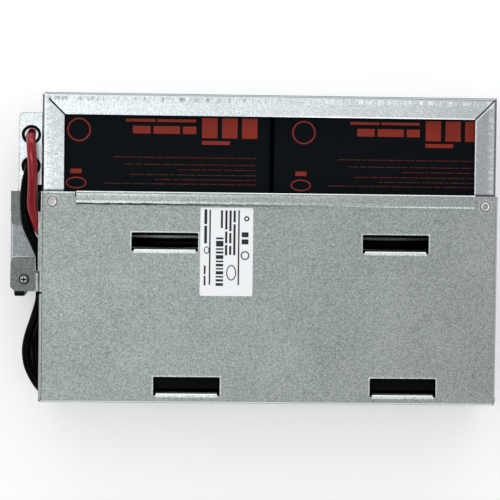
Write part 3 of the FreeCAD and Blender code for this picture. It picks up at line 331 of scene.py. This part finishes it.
    out = add(tree, "ShaderNodeMath", {0: ear_left + ear_corner, 1: spot.outputs[0]}, operation="SUBTRACT")
    past = add(tree, "ShaderNodeMath", {0: spot.outputs[1], 1: ear_back - ear_corner}, operation="SUBTRACT")
    out = add(tree, "ShaderNodeMath", {0: out.outputs[0], 1: 0.0}, operation="MAXIMUM")
    past = add(tree, "ShaderNodeMath", {0: past.outputs[0], 1: 0.0}, operation="MAXIMUM")
    rim = add(tree, "ShaderNodeCombineXYZ", {0: out.outputs[0], 1: past.outputs[0]})
    rim = add(tree, "ShaderNodeVectorMath", {0: rim.outputs[0]}, operation="LENGTH").outputs["Value"]
    rim = add(
        tree,
        "ShaderNodeMapRange",
        {"Value": rim, "From Min": ear_corner - 0.9 * MM, "From Max": ear_corner - 0.3 * MM},
    )
    on_ear = add(tree, "ShaderNodeMath", {0: spot.outputs[0], 1: -wall_x - 1 * MM}, operation="LESS_THAN")
    rim = add(tree, "ShaderNodeMath", {0: rim.outputs[0], 1: on_ear.outputs[0]}, operation="MULTIPLY")
    # Painted shade darkens the whole ear a little; its rim takes the punched edge's tone.
    return on_top, [(on_ear.outputs[0], grey(0.9)), (rim.outputs[0], punched)]


def from_rivet(tree, place):
    """How far a place is from the axis of the nearer of the two rivets in the plate: its distance in X and Y from the
    right-hand rivet, once its X has lost its sign."""
    spot = add(tree, "ShaderNodeSeparateXYZ", {"Vector": place})
    across = add(tree, "ShaderNodeMath", {0: spot.outputs[0]}, operation="ABSOLUTE")
    level = add(tree, "ShaderNodeCombineXYZ", {0: across.outputs[0], 1: spot.outputs[1]})
    return add(
        tree, "ShaderNodeVectorMath", {0: level.outputs[0], 1: (rivet_x, rivet_y, 0)}, operation="DISTANCE"
    ).outputs["Value"]


# Each slot's half sizes in metres, and where it is: mm to the right of the middle, and mm forward of the plate's back.
slot_half = (23.1 * MM, 6.0 * MM)
slot_places = ((-71.1, 32.55), (86.3, 32.55), (-55.4, 130.65), (92.4, 130.65))
# Noise of this size in mm, drawn out along X, makes the hem's stripes wander by up to this share of their whole width.
hem_wander = 1.6
hem_sway = 0.14
# Painted highlights and shadows across the hem: mm forward of its back edge, and the level there.
hem_light_bands = (
    (0.0, 1.7),
    (0.7, 1.7),
    (1.0, 0.5),
    (1.4, 0.5),
    (1.8, 1.75),
    (2.9, 1.5),
    (3.5, 1.2),
    (6.3, 1.1),
    (6.8, 1.9),
    (7.9, 1.7),
    (8.3, 0.12),
    (9.2, 0.12),
    (10.0, 1.0),
)
# Painted light round each rivet, a pale halo and a shadow line, in mm from its axis: where each starts and is full,
# its strength and its level.
rivet_shadow_and_halo = ((5.6, 4.2, 0.6, 1.5), (4.05, 3.9, 0.6, 0.3))
# A half size, in metres, that takes in the whole plate.
any_depth = 1.0


def cover_painted_light(tree, place):
    """The hem's tone goes up and down with the distance from its back edge in painted highlights and painted shadows,
    strongly at the left end and hardly at the right, where one painted highlight lies in front of it. A painted shadow
    line and a painted pale halo lie round each rivet, a painted highlight rims each slot, and a painted highlight band
    lies where the slot's flap was pressed down. A painted shade line runs along the plate's left edge and a painted
    highlight along its back edge. The tabs get painted shade. Inside the bend above them the back tab gets dark painted
    shade and the front one keeps the sheet's tone."""
    spot = add(tree, "ShaderNodeSeparateXYZ", {"Vector": place})
    depth = add(tree, "ShaderNodeMath", {0: hem_back, 1: spot.outputs[1]}, operation="SUBTRACT")
    wander = add(tree, "ShaderNodeMapping", {"Vector": place, "Scale": (0.3, 1, 1)})
    wander = add(tree, "ShaderNodeTexNoise", {"Vector": wander.outputs[0], "Scale": per(hem_wander), "Detail": 3.0})
    length = hem_light_bands[-1][0]
    share = add(tree, "ShaderNodeMapRange", {"Value": depth.outputs[0], "From Max": length * MM})
    share = add(
        tree, "ShaderNodeMath", {0: wander.outputs["Fac"], 1: hem_sway, 2: share.outputs[0]}, operation="MULTIPLY_ADD"
    )
    stripes = add(tree, "ShaderNodeValToRGB", {"Fac": share.outputs[0]})
    ramp = stripes.color_ramp
    while len(ramp.elements) < len(hem_light_bands):
        ramp.elements.new(0.5)
    for element, (down, level) in zip(ramp.elements, hem_light_bands):
        element.position = min(down / length + hem_sway / 2, 1.0)
        element.color = grey(level)
    on_hem = add(tree, "ShaderNodeMath", {0: depth.outputs[0], 1: hem_depth}, operation="LESS_THAN")
    left_end = add(tree, "ShaderNodeMath", {0: spot.outputs[0], 1: hem_left}, operation="GREATER_THAN")
    right_end = add(tree, "ShaderNodeMath", {0: spot.outputs[0], 1: hem_right}, operation="LESS_THAN")
    hem_light_share = add(
        tree,
        "ShaderNodeMapRange",
        {"Value": spot.outputs[0], "From Min": -90 * MM, "From Max": 100 * MM, "To Min": 1.0, "To Max": 0.0},
    )
    rising = add(
        tree,
        "ShaderNodeMapRange",
        {"Value": spot.outputs[0], "From Min": -20 * MM, "From Max": 120 * MM},
    )
    # A painted highlight in front of the hem, growing towards the right.
    line = within(tree, place, (0, hem_back - 8.7 * MM), (hem_right, 0.3 * MM), 0.35 * MM)
    line = add(tree, "ShaderNodeMath", {0: rising.outputs[0], 1: line}, operation="MULTIPLY")
    for other in (on_hem, left_end, right_end):
        hem_light_share = add(tree, "ShaderNodeMath", {0: hem_light_share.outputs[0], 1: other.outputs[0]}, operation="MULTIPLY")
    before = [(hem_light_share.outputs[0], stripes.outputs["Color"]), (line.outputs[0], grey(2.2))]

    away = from_rivet(tree, place)
    for start, end, strength, level in rivet_shadow_and_halo:
        rivet_light = add(
            tree,
            "ShaderNodeMapRange",
            {"Value": away, "From Min": start * MM, "From Max": end * MM, "To Max": strength},
        )
        before.append((rivet_light.outputs[0], grey(level)))
    # Painted highlights: a pale rim round each slot and a bright band in front of it.
    band = (slot_half[0] - 2 * MM, 1.1 * MM)
    painted_light_boxes = []
    for x, down in slot_places:
        y = plate_back - down * MM
        painted_light_boxes.append(((x * MM, y), slot_half, 0.8 * MM, 1.7))
        painted_light_boxes.append(((x * MM, y - slot_half[1] - band[1]), band, 0.3 * MM, 2.0))
    # A painted shade line along the plate's left edge, and a painted highlight along the back edge beside the hem.
    painted_light_boxes.append(((plate_left + 2.1 * MM, 0), (0.25 * MM, any_depth), 0.25 * MM, 0.55))
    painted_light_boxes.append(((-wall_x + 11 * MM, plate_back - 0.4 * MM), (12 * MM, 0.3 * MM), 0.3 * MM, 1.9))
    for centre, half, soft, level in painted_light_boxes:
        before.append((within(tree, place, centre, half, soft), grey(level)))

    # The tabs lie to the left of the plate, past a bend that goes down below the plate's top. They get painted shade.
    beside = add(
        tree,
        "ShaderNodeMapRange",
        {"Value": spot.outputs[0], "From Min": plate_left - 2 * MM, "From Max": plate_left - 3 * MM},
    )
    before.append((beside.outputs[0], grey(0.5)))
    inside = add(tree, "ShaderNodeMath", {0: spot.outputs[0], 1: plate_left + 1 * MM}, operation="LESS_THAN")
    below = add(
        tree,
        "ShaderNodeMapRange",
        {"Value": spot.outputs[2], "From Min": plate_top - 1.2 * MM, "From Max": plate_top - 2.4 * MM},
    )
    outside = add(
        tree,
        "ShaderNodeMapRange",
        {"Value": spot.outputs[0], "From Min": plate_left - 3.6 * MM, "From Max": plate_left - 2.6 * MM},
    )
    for other in (below, outside):
        inside = add(tree, "ShaderNodeMath", {0: inside.outputs[0], 1: other.outputs[0]}, operation="MULTIPLY")
    # Painted shade inside the bend above the back tab; the front tab keeps the sheet's tone.
    front = add(tree, "ShaderNodeMath", {0: spot.outputs[1], 1: between_tabs}, operation="LESS_THAN")
    root = add(tree, "ShaderNodeMix", {0: front.outputs[0], 6: grey(0.25), 7: grey(1.0)}, data_type="RGBA")
    return before, [(inside.outputs[0], root.outputs[2])]


def no_marks(tree, place):
    """A sheet that no tool has marked."""
    return [], []


# The second pair of tones in each call is painted light on the folds: painted shade on the tray, painted highlights on
# the cover and the bracket.
# The tray's galvanised steel: bright and nearly smooth, so that it takes its tone from the lamp overhead.
tray_zinc = zinc_sheet("galvanised_steel_tray", "#a6aeb2", "#d9dfe1", 0.3, ("#70777a", "#9aa1a4"), tray_marks_and_light)
# The cover's: a skin-passed sheet, greyer and duller, with its crystals plain to see.
cover_zinc = zinc_sheet("galvanised_steel_cover", "#808887", "#bbc2c1", 0.55, ("#aeb4b5", "#dfe4e5"), cover_painted_light)
# The bracket's: the darkest of the three.
bracket_zinc = zinc_sheet("galvanised_steel_bracket", "#6a7174", "#a2a9ac", 0.5, ("#b0b6b9", "#b0b6b9"), no_marks)


def plain(name, colour, roughness, grain, depth, shade=0.85, **sockets):
    """A moulded, drawn or plated finish with a fine even grain and a slight change of shade and of gloss. A real grain
    of a tenth of a millimetre or two is too fine to show, so it is drawn at half a millimetre or more."""
    made, tree, shader, place = finish(name, colour, roughness, **sockets)
    fine = add(tree, "ShaderNodeTexNoise", {"Vector": place, "Scale": per(grain), "Detail": 2.0})
    broad = add(tree, "ShaderNodeTexNoise", {"Vector": place, "Scale": per(grain * 25), "Detail": 3.0})
    darker = tuple(channel * shade for channel in linear(colour)[:3]) + (1.0,)
    tone = add(
        tree, "ShaderNodeMix", {0: broad.outputs["Fac"], 6: darker, 7: linear(colour)}, data_type="RGBA"
    )
    sheen = add(
        tree,
        "ShaderNodeMapRange",
        {
            "Value": broad.outputs["Fac"],
            "From Min": 0.3,
            "From Max": 0.7,
            "To Min": roughness - gloss_change,
            "To Max": roughness + gloss_change,
        },
    )
    relief = add(
        tree, "ShaderNodeBump", {"Height": fine.outputs["Fac"], "Distance": depth * MM, "Strength": 1.0}
    )
    feed(tree, shader, Base_Color=tone.outputs[2], Roughness=sheen.outputs[0], Normal=relief.outputs[0])
    return made


def fastener(name, colour, roughness, second, share_of):
    """A smooth silvery fastener with a fine grain, drawn coarser than the real one so that it shows, and a second tone
    where its recess or its mandrel is. How much of that tone a place has, from 0 to 1, is what share_of gives."""
    made, tree, shader, place = finish(name, colour, roughness, Metallic=1.0)
    grain = add(tree, "ShaderNodeTexNoise", {"Vector": place, "Scale": per(0.5), "Detail": 2.0})
    darker = tuple(channel * 0.75 for channel in linear(colour)[:3]) + (1.0,)
    tone = add(
        tree, "ShaderNodeMix", {0: grain.outputs["Fac"], 6: darker, 7: linear(colour)}, data_type="RGBA"
    )
    tone = add(
        tree, "ShaderNodeMix", {0: share_of(tree, place), 6: tone.outputs[2], 7: linear(second)}, data_type="RGBA"
    )
    relief = add(
        tree, "ShaderNodeBump", {"Height": grain.outputs["Fac"], "Distance": 0.01 * MM, "Strength": 1.0}
    )
    feed(tree, shader, Base_Color=tone.outputs[2], Normal=relief.outputs[0])
    return made


screw_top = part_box("bracket_screw")[1].z


def shaded_recess(tree, place):
    """1 below the top of the screw's head, in its cross recess and down its rim, where painted shade goes, and 0 on
    the top.
    """
    spot = add(tree, "ShaderNodeSeparateXYZ", {"Vector": place})
    return add(
        tree,
        "ShaderNodeMapRange",
        {"Value": spot.outputs[2], "From Min": screw_top - 0.25 * MM, "From Max": screw_top - 0.6 * MM},
    ).outputs[0]


def eye_and_rim_shade(tree, place):
    """1 on the end of the rivet's mandrel, less on the head's rim as painted shade, and 0 on the head between them."""
    away = from_rivet(tree, place)
    eye = add(tree, "ShaderNodeMapRange", {"Value": away, "From Min": 1.9 * MM, "From Max": 1.6 * MM})
    rim = add(
        tree, "ShaderNodeMapRange", {"Value": away, "From Min": 2.8 * MM, "From Max": 3.2 * MM, "To Max": 0.6}
    )
    return add(tree, "ShaderNodeMath", {0: eye.outputs[0], 1: rim.outputs[0]}, operation="MAXIMUM").outputs[0]


# Bright zinc plate: silvery, and black with painted shade in the cross recess and down the head's rim.
screw_zinc = fastener("bright_zinc_plated_screw", "#a9adaf", 0.3, "#17181a", shaded_recess)
# Aluminium rivet: pale grey, with the steel mandrel's pinkish end in its eye, and painted shade in that tone on the
# head's rim.
rivet_aluminium = fastener("aluminium_blind_rivet", "#e3e5e6", 0.35, "#b8abab", eye_and_rim_shade)
# Bright zinc plate on the small fasteners.
fastener_zinc = plain("bright_zinc_plate", "#c6cacc", 0.28, 0.6, 0.01, Metallic=1.0)
# Black ABS with a fine spark texture: a deep blue-black that hardly shines.
case_abs = plain("moulded_abs_case", "#0b1014", 0.45, 0.7, 0.02, Specular_IOR_Level=0.03)
# The lid's ABS is a shade greyer and duller than the case.
lid_abs = plain("moulded_abs_lid", "#0b0d0f", 0.5, 0.7, 0.02, Specular_IOR_Level=0.03)
# Tinned brass: warm grey with a satin shine.
tinned_brass = plain("tinned_brass", "#b7b3a8", 0.35, 0.8, 0.01, Metallic=1.0)
# Black nylon: the connector's slightly waxy moulding.
nylon = plain("moulded_nylon", "#08090a", 0.4, 0.6, 0.015, Specular_IOR_Level=0.08)
# Silver plate: the whitest of the metals, nearly a mirror.
silver_plate = plain("silver_plated_copper", "#cfccc4", 0.25, 0.8, 0.01, Metallic=1.0)
# Extruded PVC: smooth, with a narrow highlight along the lead.
red_shine = {"Specular_IOR_Level": 0.9, "Specular_Tint": (1, 0.35, 0.38, 1)}
red_pvc = plain("extruded_pvc_red", "#860a18", 0.11, 1.2, 0.0, shade=0.5, **red_shine)
black_pvc = plain("extruded_pvc_black", "#020202", 0.13, 1.2, 0.0, Specular_IOR_Level=0.04)
# Dipped vinyl: softer and duller than the leads.
red_vinyl = plain("dipped_vinyl_red", "#7a181e", 0.45, 0.9, 0.02, Specular_IOR_Level=0.3)
black_vinyl = plain("dipped_vinyl_black", "#040405", 0.45, 0.9, 0.02, Specular_IOR_Level=0.08)
# Moulded rubber: black with a broad faint shine.
rubber = plain("moulded_rubber", "#040505", 0.42, 0.5, 0.02, Specular_IOR_Level=0.08)
# Polyester film: a flat cool white.
label_film = plain("polyester_label_film", "#f4f6f8", 0.4, 0.5, 0.005, shade=0.97, Specular_IOR_Level=0.2)
# Thermal transfer ink: near black and slightly uneven.
label_ink = plain("thermal_transfer_ink", "#26282c", 0.45, 0.5, 0.005, Specular_IOR_Level=0.2)
# Screen printed ink: a thin brick red that lets the black through where it is thin.
case_ink = plain("screen_print_ink", "#8e3024", 0.5, 0.5, 0.005, shade=0.7, Specular_IOR_Level=0.1)
# The same ink in fine lines, thinned by the screen: a dull red-brown that the black shows through.
thin_ink = plain("screen_print_ink_thin", "#6a2620", 0.5, 0.9, 0.005, shade=0.35, Specular_IOR_Level=0.1)

finishes = {
    "tray": tray_zinc,
    "cover": cover_zinc,
    "connector_bracket": bracket_zinc,
    "cover_rivets": rivet_aluminium,
    "bracket_screw": screw_zinc,
    "bracket_rivet": fastener_zinc,
    "bracket_nut": fastener_zinc,
    "connector_screws": fastener_zinc,
    "connector_housing": nylon,
    "connector_contacts": silver_plate,
    "grommet_back": rubber,
    "grommet_front": rubber,
    "rating_label": label_film,
    "positive_lead": red_pvc,
    "negative_lead": black_pvc,
    "row_jumper": black_pvc,
    "back_jumper": black_pvc,
    "front_jumper": black_pvc,
    "positive_sleeves": red_vinyl,
    "negative_sleeves": black_vinyl,
}
for number in range(1, 5):
    finishes[f"battery_case_{number}"] = case_abs
    finishes[f"battery_lid_{number}"] = lid_abs
    finishes[f"vent_strip_{number}"] = lid_abs
    finishes[f"battery_blades_{number}"] = tinned_brass

for name, node in nodes.items():
    for material_slot in node.material_slots:
        material_slot.material = finishes[name]


# ---------------------------------------------------------------- printed shapes


def mesh_piece(name, points, faces, material, slot):
    """A piece of the scene from points in metres, with its finish, that rides with the whole."""
    mesh = bpy.data.meshes.new(name)
    mesh.from_pydata(points.reshape(-1, 3).tolist(), [], faces.reshape(-1, faces.shape[-1]).tolist())
    mesh.materials.append(material)
    piece = bpy.data.objects.new(name, mesh)
    bpy.context.scene.collection.objects.link(piece)
    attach(piece, "root")


# How far, in mm, the print stands above the face it is on, and how far it is let into it.
ink = 0.04
sunk = 0.02


def blocks(rectangles, face):
    """Thin blocks on the face height, all in mm. Each corner is the rectangle's near corner plus its size times 0 or 1
    along each side, so that the eight corners of every block come out as one array."""
    low = np.array([(x, y, face - sunk) for x, y, _, _ in rectangles])
    size = np.array([(width, depth, ink + sunk) for _, _, width, depth in rectangles])
    corner = np.array([(0, 0, 0), (1, 0, 0), (1, 1, 0), (0, 1, 0), (0, 0, 1), (1, 0, 1), (1, 1, 1), (0, 1, 1)])
    sides = np.array([(0, 3, 2, 1), (4, 5, 6, 7), (0, 1, 5, 4), (1, 2, 6, 5), (2, 3, 7, 6), (3, 0, 4, 7)])
    points = low[:, None, :] + size[:, None, :] * corner
    faces = np.arange(len(rectangles))[:, None, None] * len(corner) + sides
    return points.reshape(-1, 3) * MM, faces.reshape(-1, 4)


def ring(centre, across, line, face, count=40):
    """A thin closed ring. A small rectangle as wide as the line is carried round an oval: at angle a the point is the
    centre plus the half widths, less an inset for the inner corners, times cos a and sin a."""
    angle = np.linspace(0, 2 * math.pi, count, endpoint=False)[:, None]
    inset = np.array([0, line, line, 0])
    height = np.array([face - sunk, face - sunk, face + ink, face + ink])
    x = centre[0] + (across[0] / 2 - inset) * np.cos(angle)
    y = centre[1] + (across[1] / 2 - inset) * np.sin(angle)
    points = np.stack([x, y, np.broadcast_to(height, x.shape)], axis=-1)
    step, side = np.meshgrid(np.arange(count), np.arange(4), indexing="ij")
    along, around = (step + 1) % count, (side + 1) % 4
    faces = np.stack([step * 4 + side, step * 4 + around, along * 4 + around, along * 4 + side], axis=-1)
    return points.reshape(-1, 3) * MM, faces.reshape(-1, 4)


def joined(parts):
    """Several (points, faces) pairs as one pair."""
    starts = np.cumsum([0] + [len(points) for points, _ in parts[:-1]])
    return (
        np.concatenate([points for points, _ in parts]),
        np.concatenate([faces + start for (_, faces), start in zip(parts, starts)]),
    )


# The dashes that stand for words, in mm.
word_lengths = (5.5, 9.0, 3.0, 7.0, 4.5, 11.0, 6.0, 8.0, 2.5, 10.0)
word_gap = 1.1


def words(left, right, first):
    """Where the dashes of one line start and end, from left to right, taking the lengths in turn."""
    dashes = []
    start = left
    while right - start > word_gap:
        end = min(start + word_lengths[first % len(word_lengths)], right)
        dashes.append((start, end))
        start = end + word_gap
        first += 1
    return dashes


# On each battery, in mm from its back left corner: each mark's near corner and its width and depth, each line's start
# and depth, and each ring's middle, its widths and its stroke.
case_marks = (
    (104.0, 14.0, 10.5, 13.7),
    (117.6, 14.0, 10.5, 13.7),
    (131.2, 14.0, 10.5, 13.7),
    (104.0, 29.6, 19.0, 2.6),
    (57.0, 19.9, 12.0, 5.2),
    (71.0, 19.9, 18.0, 5.2),
    (91.0, 19.9, 9.0, 5.2),
    (52.2, 15.2, 20.0, 1.9),
    (73.5, 15.2, 26.3, 1.9),
    (15.0, 49.6, 7.5, 3.0),
)
case_lines = ((44.0, 41.4), (51.0, 46.2), (88.0, 49.6), (55.0, 53.2), (72.0, 56.4), (38.0, 59.4))
case_line_end = 141.0
case_line_height = 0.5
case_rings = ((20.5, 23.0, 16.0, 16.0, 1.0), (18.8, 59.0, 14.0, 8.0, 0.9))

for number in range(1, 5):
    low, high = (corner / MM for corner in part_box(f"battery_case_{number}"))
    left, back, top = low.x, high.y, high.z
    marks = [(left + x, back - y - depth, width, depth) for x, y, width, depth in case_marks]
    lines = [
        (left + first, back - down, last - first, case_line_height)
        for line, (start, down) in enumerate(case_lines)
        for first, last in words(start, case_line_end, line * 3)
    ]
    rings = [
        ring((left + x, back - y), (width, depth), stroke, top) for x, y, width, depth, stroke in case_rings
    ]
    points, faces = joined([blocks(marks, top), *rings])
    mesh_piece(f"case_print_{number}", points, faces, case_ink, "battery_case")
    mesh_piece(f"case_lines_{number}", *blocks(lines, top), thin_ink, "battery_case")

# The same for the label.
label_marks = (
    (25.7, 1.6, 1.0, 51.0),
    (6.1, 1.6, 1.0, 51.0),
    (2.7, 1.3, 1.9, 10.0),
    (2.7, 12.4, 1.9, 12.0),
    (2.7, 39.4, 1.2, 6.0),
    (2.7, 46.4, 1.2, 6.6),
    (13.9, 1.9, 1.4, 12.0),
    (16.9, 1.9, 1.5, 13.0),
    (16.9, 16.2, 1.5, 8.0),
    (16.9, 25.4, 1.5, 7.0),
    (19.7, 1.9, 1.5, 14.0),
    (19.7, 17.2, 1.5, 7.0),
    (19.7, 26.0, 1.5, 6.0),
    (22.5, 1.9, 1.5, 8.0),
    (22.5, 11.2, 1.5, 21.0),
    (28.2, 16.6, 4.6, 3.4),
    (28.2, 21.4, 4.6, 3.4),
)
label_rings = (
    (21.3, 44.2, 6.8, 10.6, 0.7),
    (30.6, 32.4, 6.0, 6.0, 0.8),
    (31.5, 7.4, 3.6, 3.6, 0.9),
    (4.4, 29.0, 3.8, 5.0, 0.6),
)
stripe_widths = (1.2, 3.9, 1.1, 1.4, 2.6, 1.1, 1.8, 1.0, 2.2, 1.1, 1.5, 1.9)
stripe_gap = 1.1
stripe_left, stripe_length, first_stripe = 10.8, 5.0, 20.3

low, high = (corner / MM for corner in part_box("rating_label"))
stripe_starts = first_stripe + np.cumsum((0.0, *stripe_widths[:-1])) + stripe_gap * np.arange(len(stripe_widths))
stripes = [(stripe_left, start, stripe_length, width) for start, width in zip(stripe_starts, stripe_widths)]
marks = [
    (low.x + x, high.y - y - depth, width, depth) for x, y, width, depth in (*label_marks, *stripes)
]
rings = [
    ring((low.x + x, high.y - y), (width, depth), stroke, high.z) for x, y, width, depth, stroke in label_rings
]
points, faces = joined([blocks(marks, high.z), *rings])
mesh_piece("label_print", points, faces, label_ink, "label")


# ---------------------------------------------------------------- stage


# The floor is a hair below the tray, so that their faces don't share a plane.
floor_mesh = bpy.data.meshes.new("floor")
reach = 12.0
level = cad_low.z - 0.2 * MM
corners = [(x, y, level) for x, y in ((-reach, -reach), (reach, -reach), (reach, reach), (-reach, reach))]
floor_mesh.from_pydata(corners, [], [(0, 1, 2, 3)])
floor = bpy.data.objects.new("floor", floor_mesh)
bpy.context.scene.collection.objects.link(floor)

# White paper: matt, and lifted to pure white where the eye or a mirror sees it, so that only the shadow stands out.
white = bpy.data.materials.new("white_table")
white.use_nodes = True
tree = white.node_tree
tree.nodes.clear()
paint = add(tree, "ShaderNodeBsdfDiffuse", {"Color": linear("#f2f2f2")})
glow = add(tree, "ShaderNodeEmission", {"Color": (1, 1, 1, 1), "Strength": 0.2})
both = add(tree, "ShaderNodeAddShader", {0: paint.outputs[0], 1: glow.outputs[0]})
ray = add(tree, "ShaderNodeLightPath")
seen = add(
    tree,
    "ShaderNodeMath",
    {0: ray.outputs["Is Camera Ray"], 1: ray.outputs["Is Glossy Ray"]},
    operation="MAXIMUM",
)
seen = add(
    tree, "ShaderNodeMath", {0: seen.outputs[0], 1: ray.outputs["Is Transmission Ray"]}, operation="MAXIMUM"
)
surface = add(tree, "ShaderNodeMixShader", {0: seen.outputs[0], 1: paint.outputs[0], 2: both.outputs[0]})
add(tree, "ShaderNodeOutputMaterial", {"Surface": surface.outputs[0]})
floor_mesh.materials.append(white)


def softbox(name, place, aim, size, radiance):
    """A rectangular lamp that faces aim. Its power is the radiance it shows, times pi, times its area."""
    lamp = bpy.data.lights.new(name, "AREA")
    lamp.shape = "RECTANGLE"
    lamp.size, lamp.size_y = size
    lamp.energy = radiance * math.pi * size[0] * size[1]
    held = bpy.data.objects.new(name, lamp)
    held.location = place
    held.rotation_euler = (Vector(aim) - Vector(place)).to_track_quat("-Z", "Y").to_euler()
    bpy.context.scene.collection.objects.link(held)


middle = (cad_low + cad_high) / 2
softbox("overhead", (-0.33, 0.4, 1.6), (-0.33, 0.4, 0), (1.38, 1.6), 1.0)
softbox("highlight", (-0.75, 0.05, 1.4), (-0.1, 0, 0.05), (0.04, 1.2), 14)
softbox("back_strip", (0, 1.7, 0.55), middle, (2.4, 0.8), 1.6)

# The studio's walls are bright and its ceiling beside the lamp is dimmer: the strength falls with the height of the
# direction.
world = bpy.data.worlds.new("studio")
world.use_nodes = True
tree = world.node_tree
direction = add(tree, "ShaderNodeSeparateXYZ", {"Vector": add(tree, "ShaderNodeTexCoord").outputs["Generated"]})
sky = add(
    tree,
    "ShaderNodeMapRange",
    {"Value": direction.outputs[2], "From Min": 0.3, "From Max": 0.9, "To Min": 0.95, "To Max": 0.42},
)
tree.links.new(sky.outputs[0], tree.nodes["Background"].inputs["Strength"])
tree.nodes["Background"].inputs["Color"].default_value = (1, 1, 1, 1)
bpy.context.scene.world = world

# The camera looks down on the cartridge from 1.4 m, tipped three degrees.
lens = bpy.data.cameras.new("camera")
lens.lens = 144
lens.sensor_width = 36
camera = bpy.data.objects.new("camera", lens)
right = Vector((0.99880721, 0.01240233, 0.0472264))
down = Vector((0.01107776, -0.99954074, 0.02820638))
ahead = Vector((0.04755453, -0.02764957, -0.99848589))
turned = Matrix((right, -down, -ahead)).transposed().to_4x4()
camera.matrix_world = Matrix.Translation((-0.07788, 0.03666, 1.42938)) @ turned
bpy.context.scene.collection.objects.link(camera)
bpy.context.scene.camera = camera
bpy.context.scene.view_settings.view_transform = "Standard"
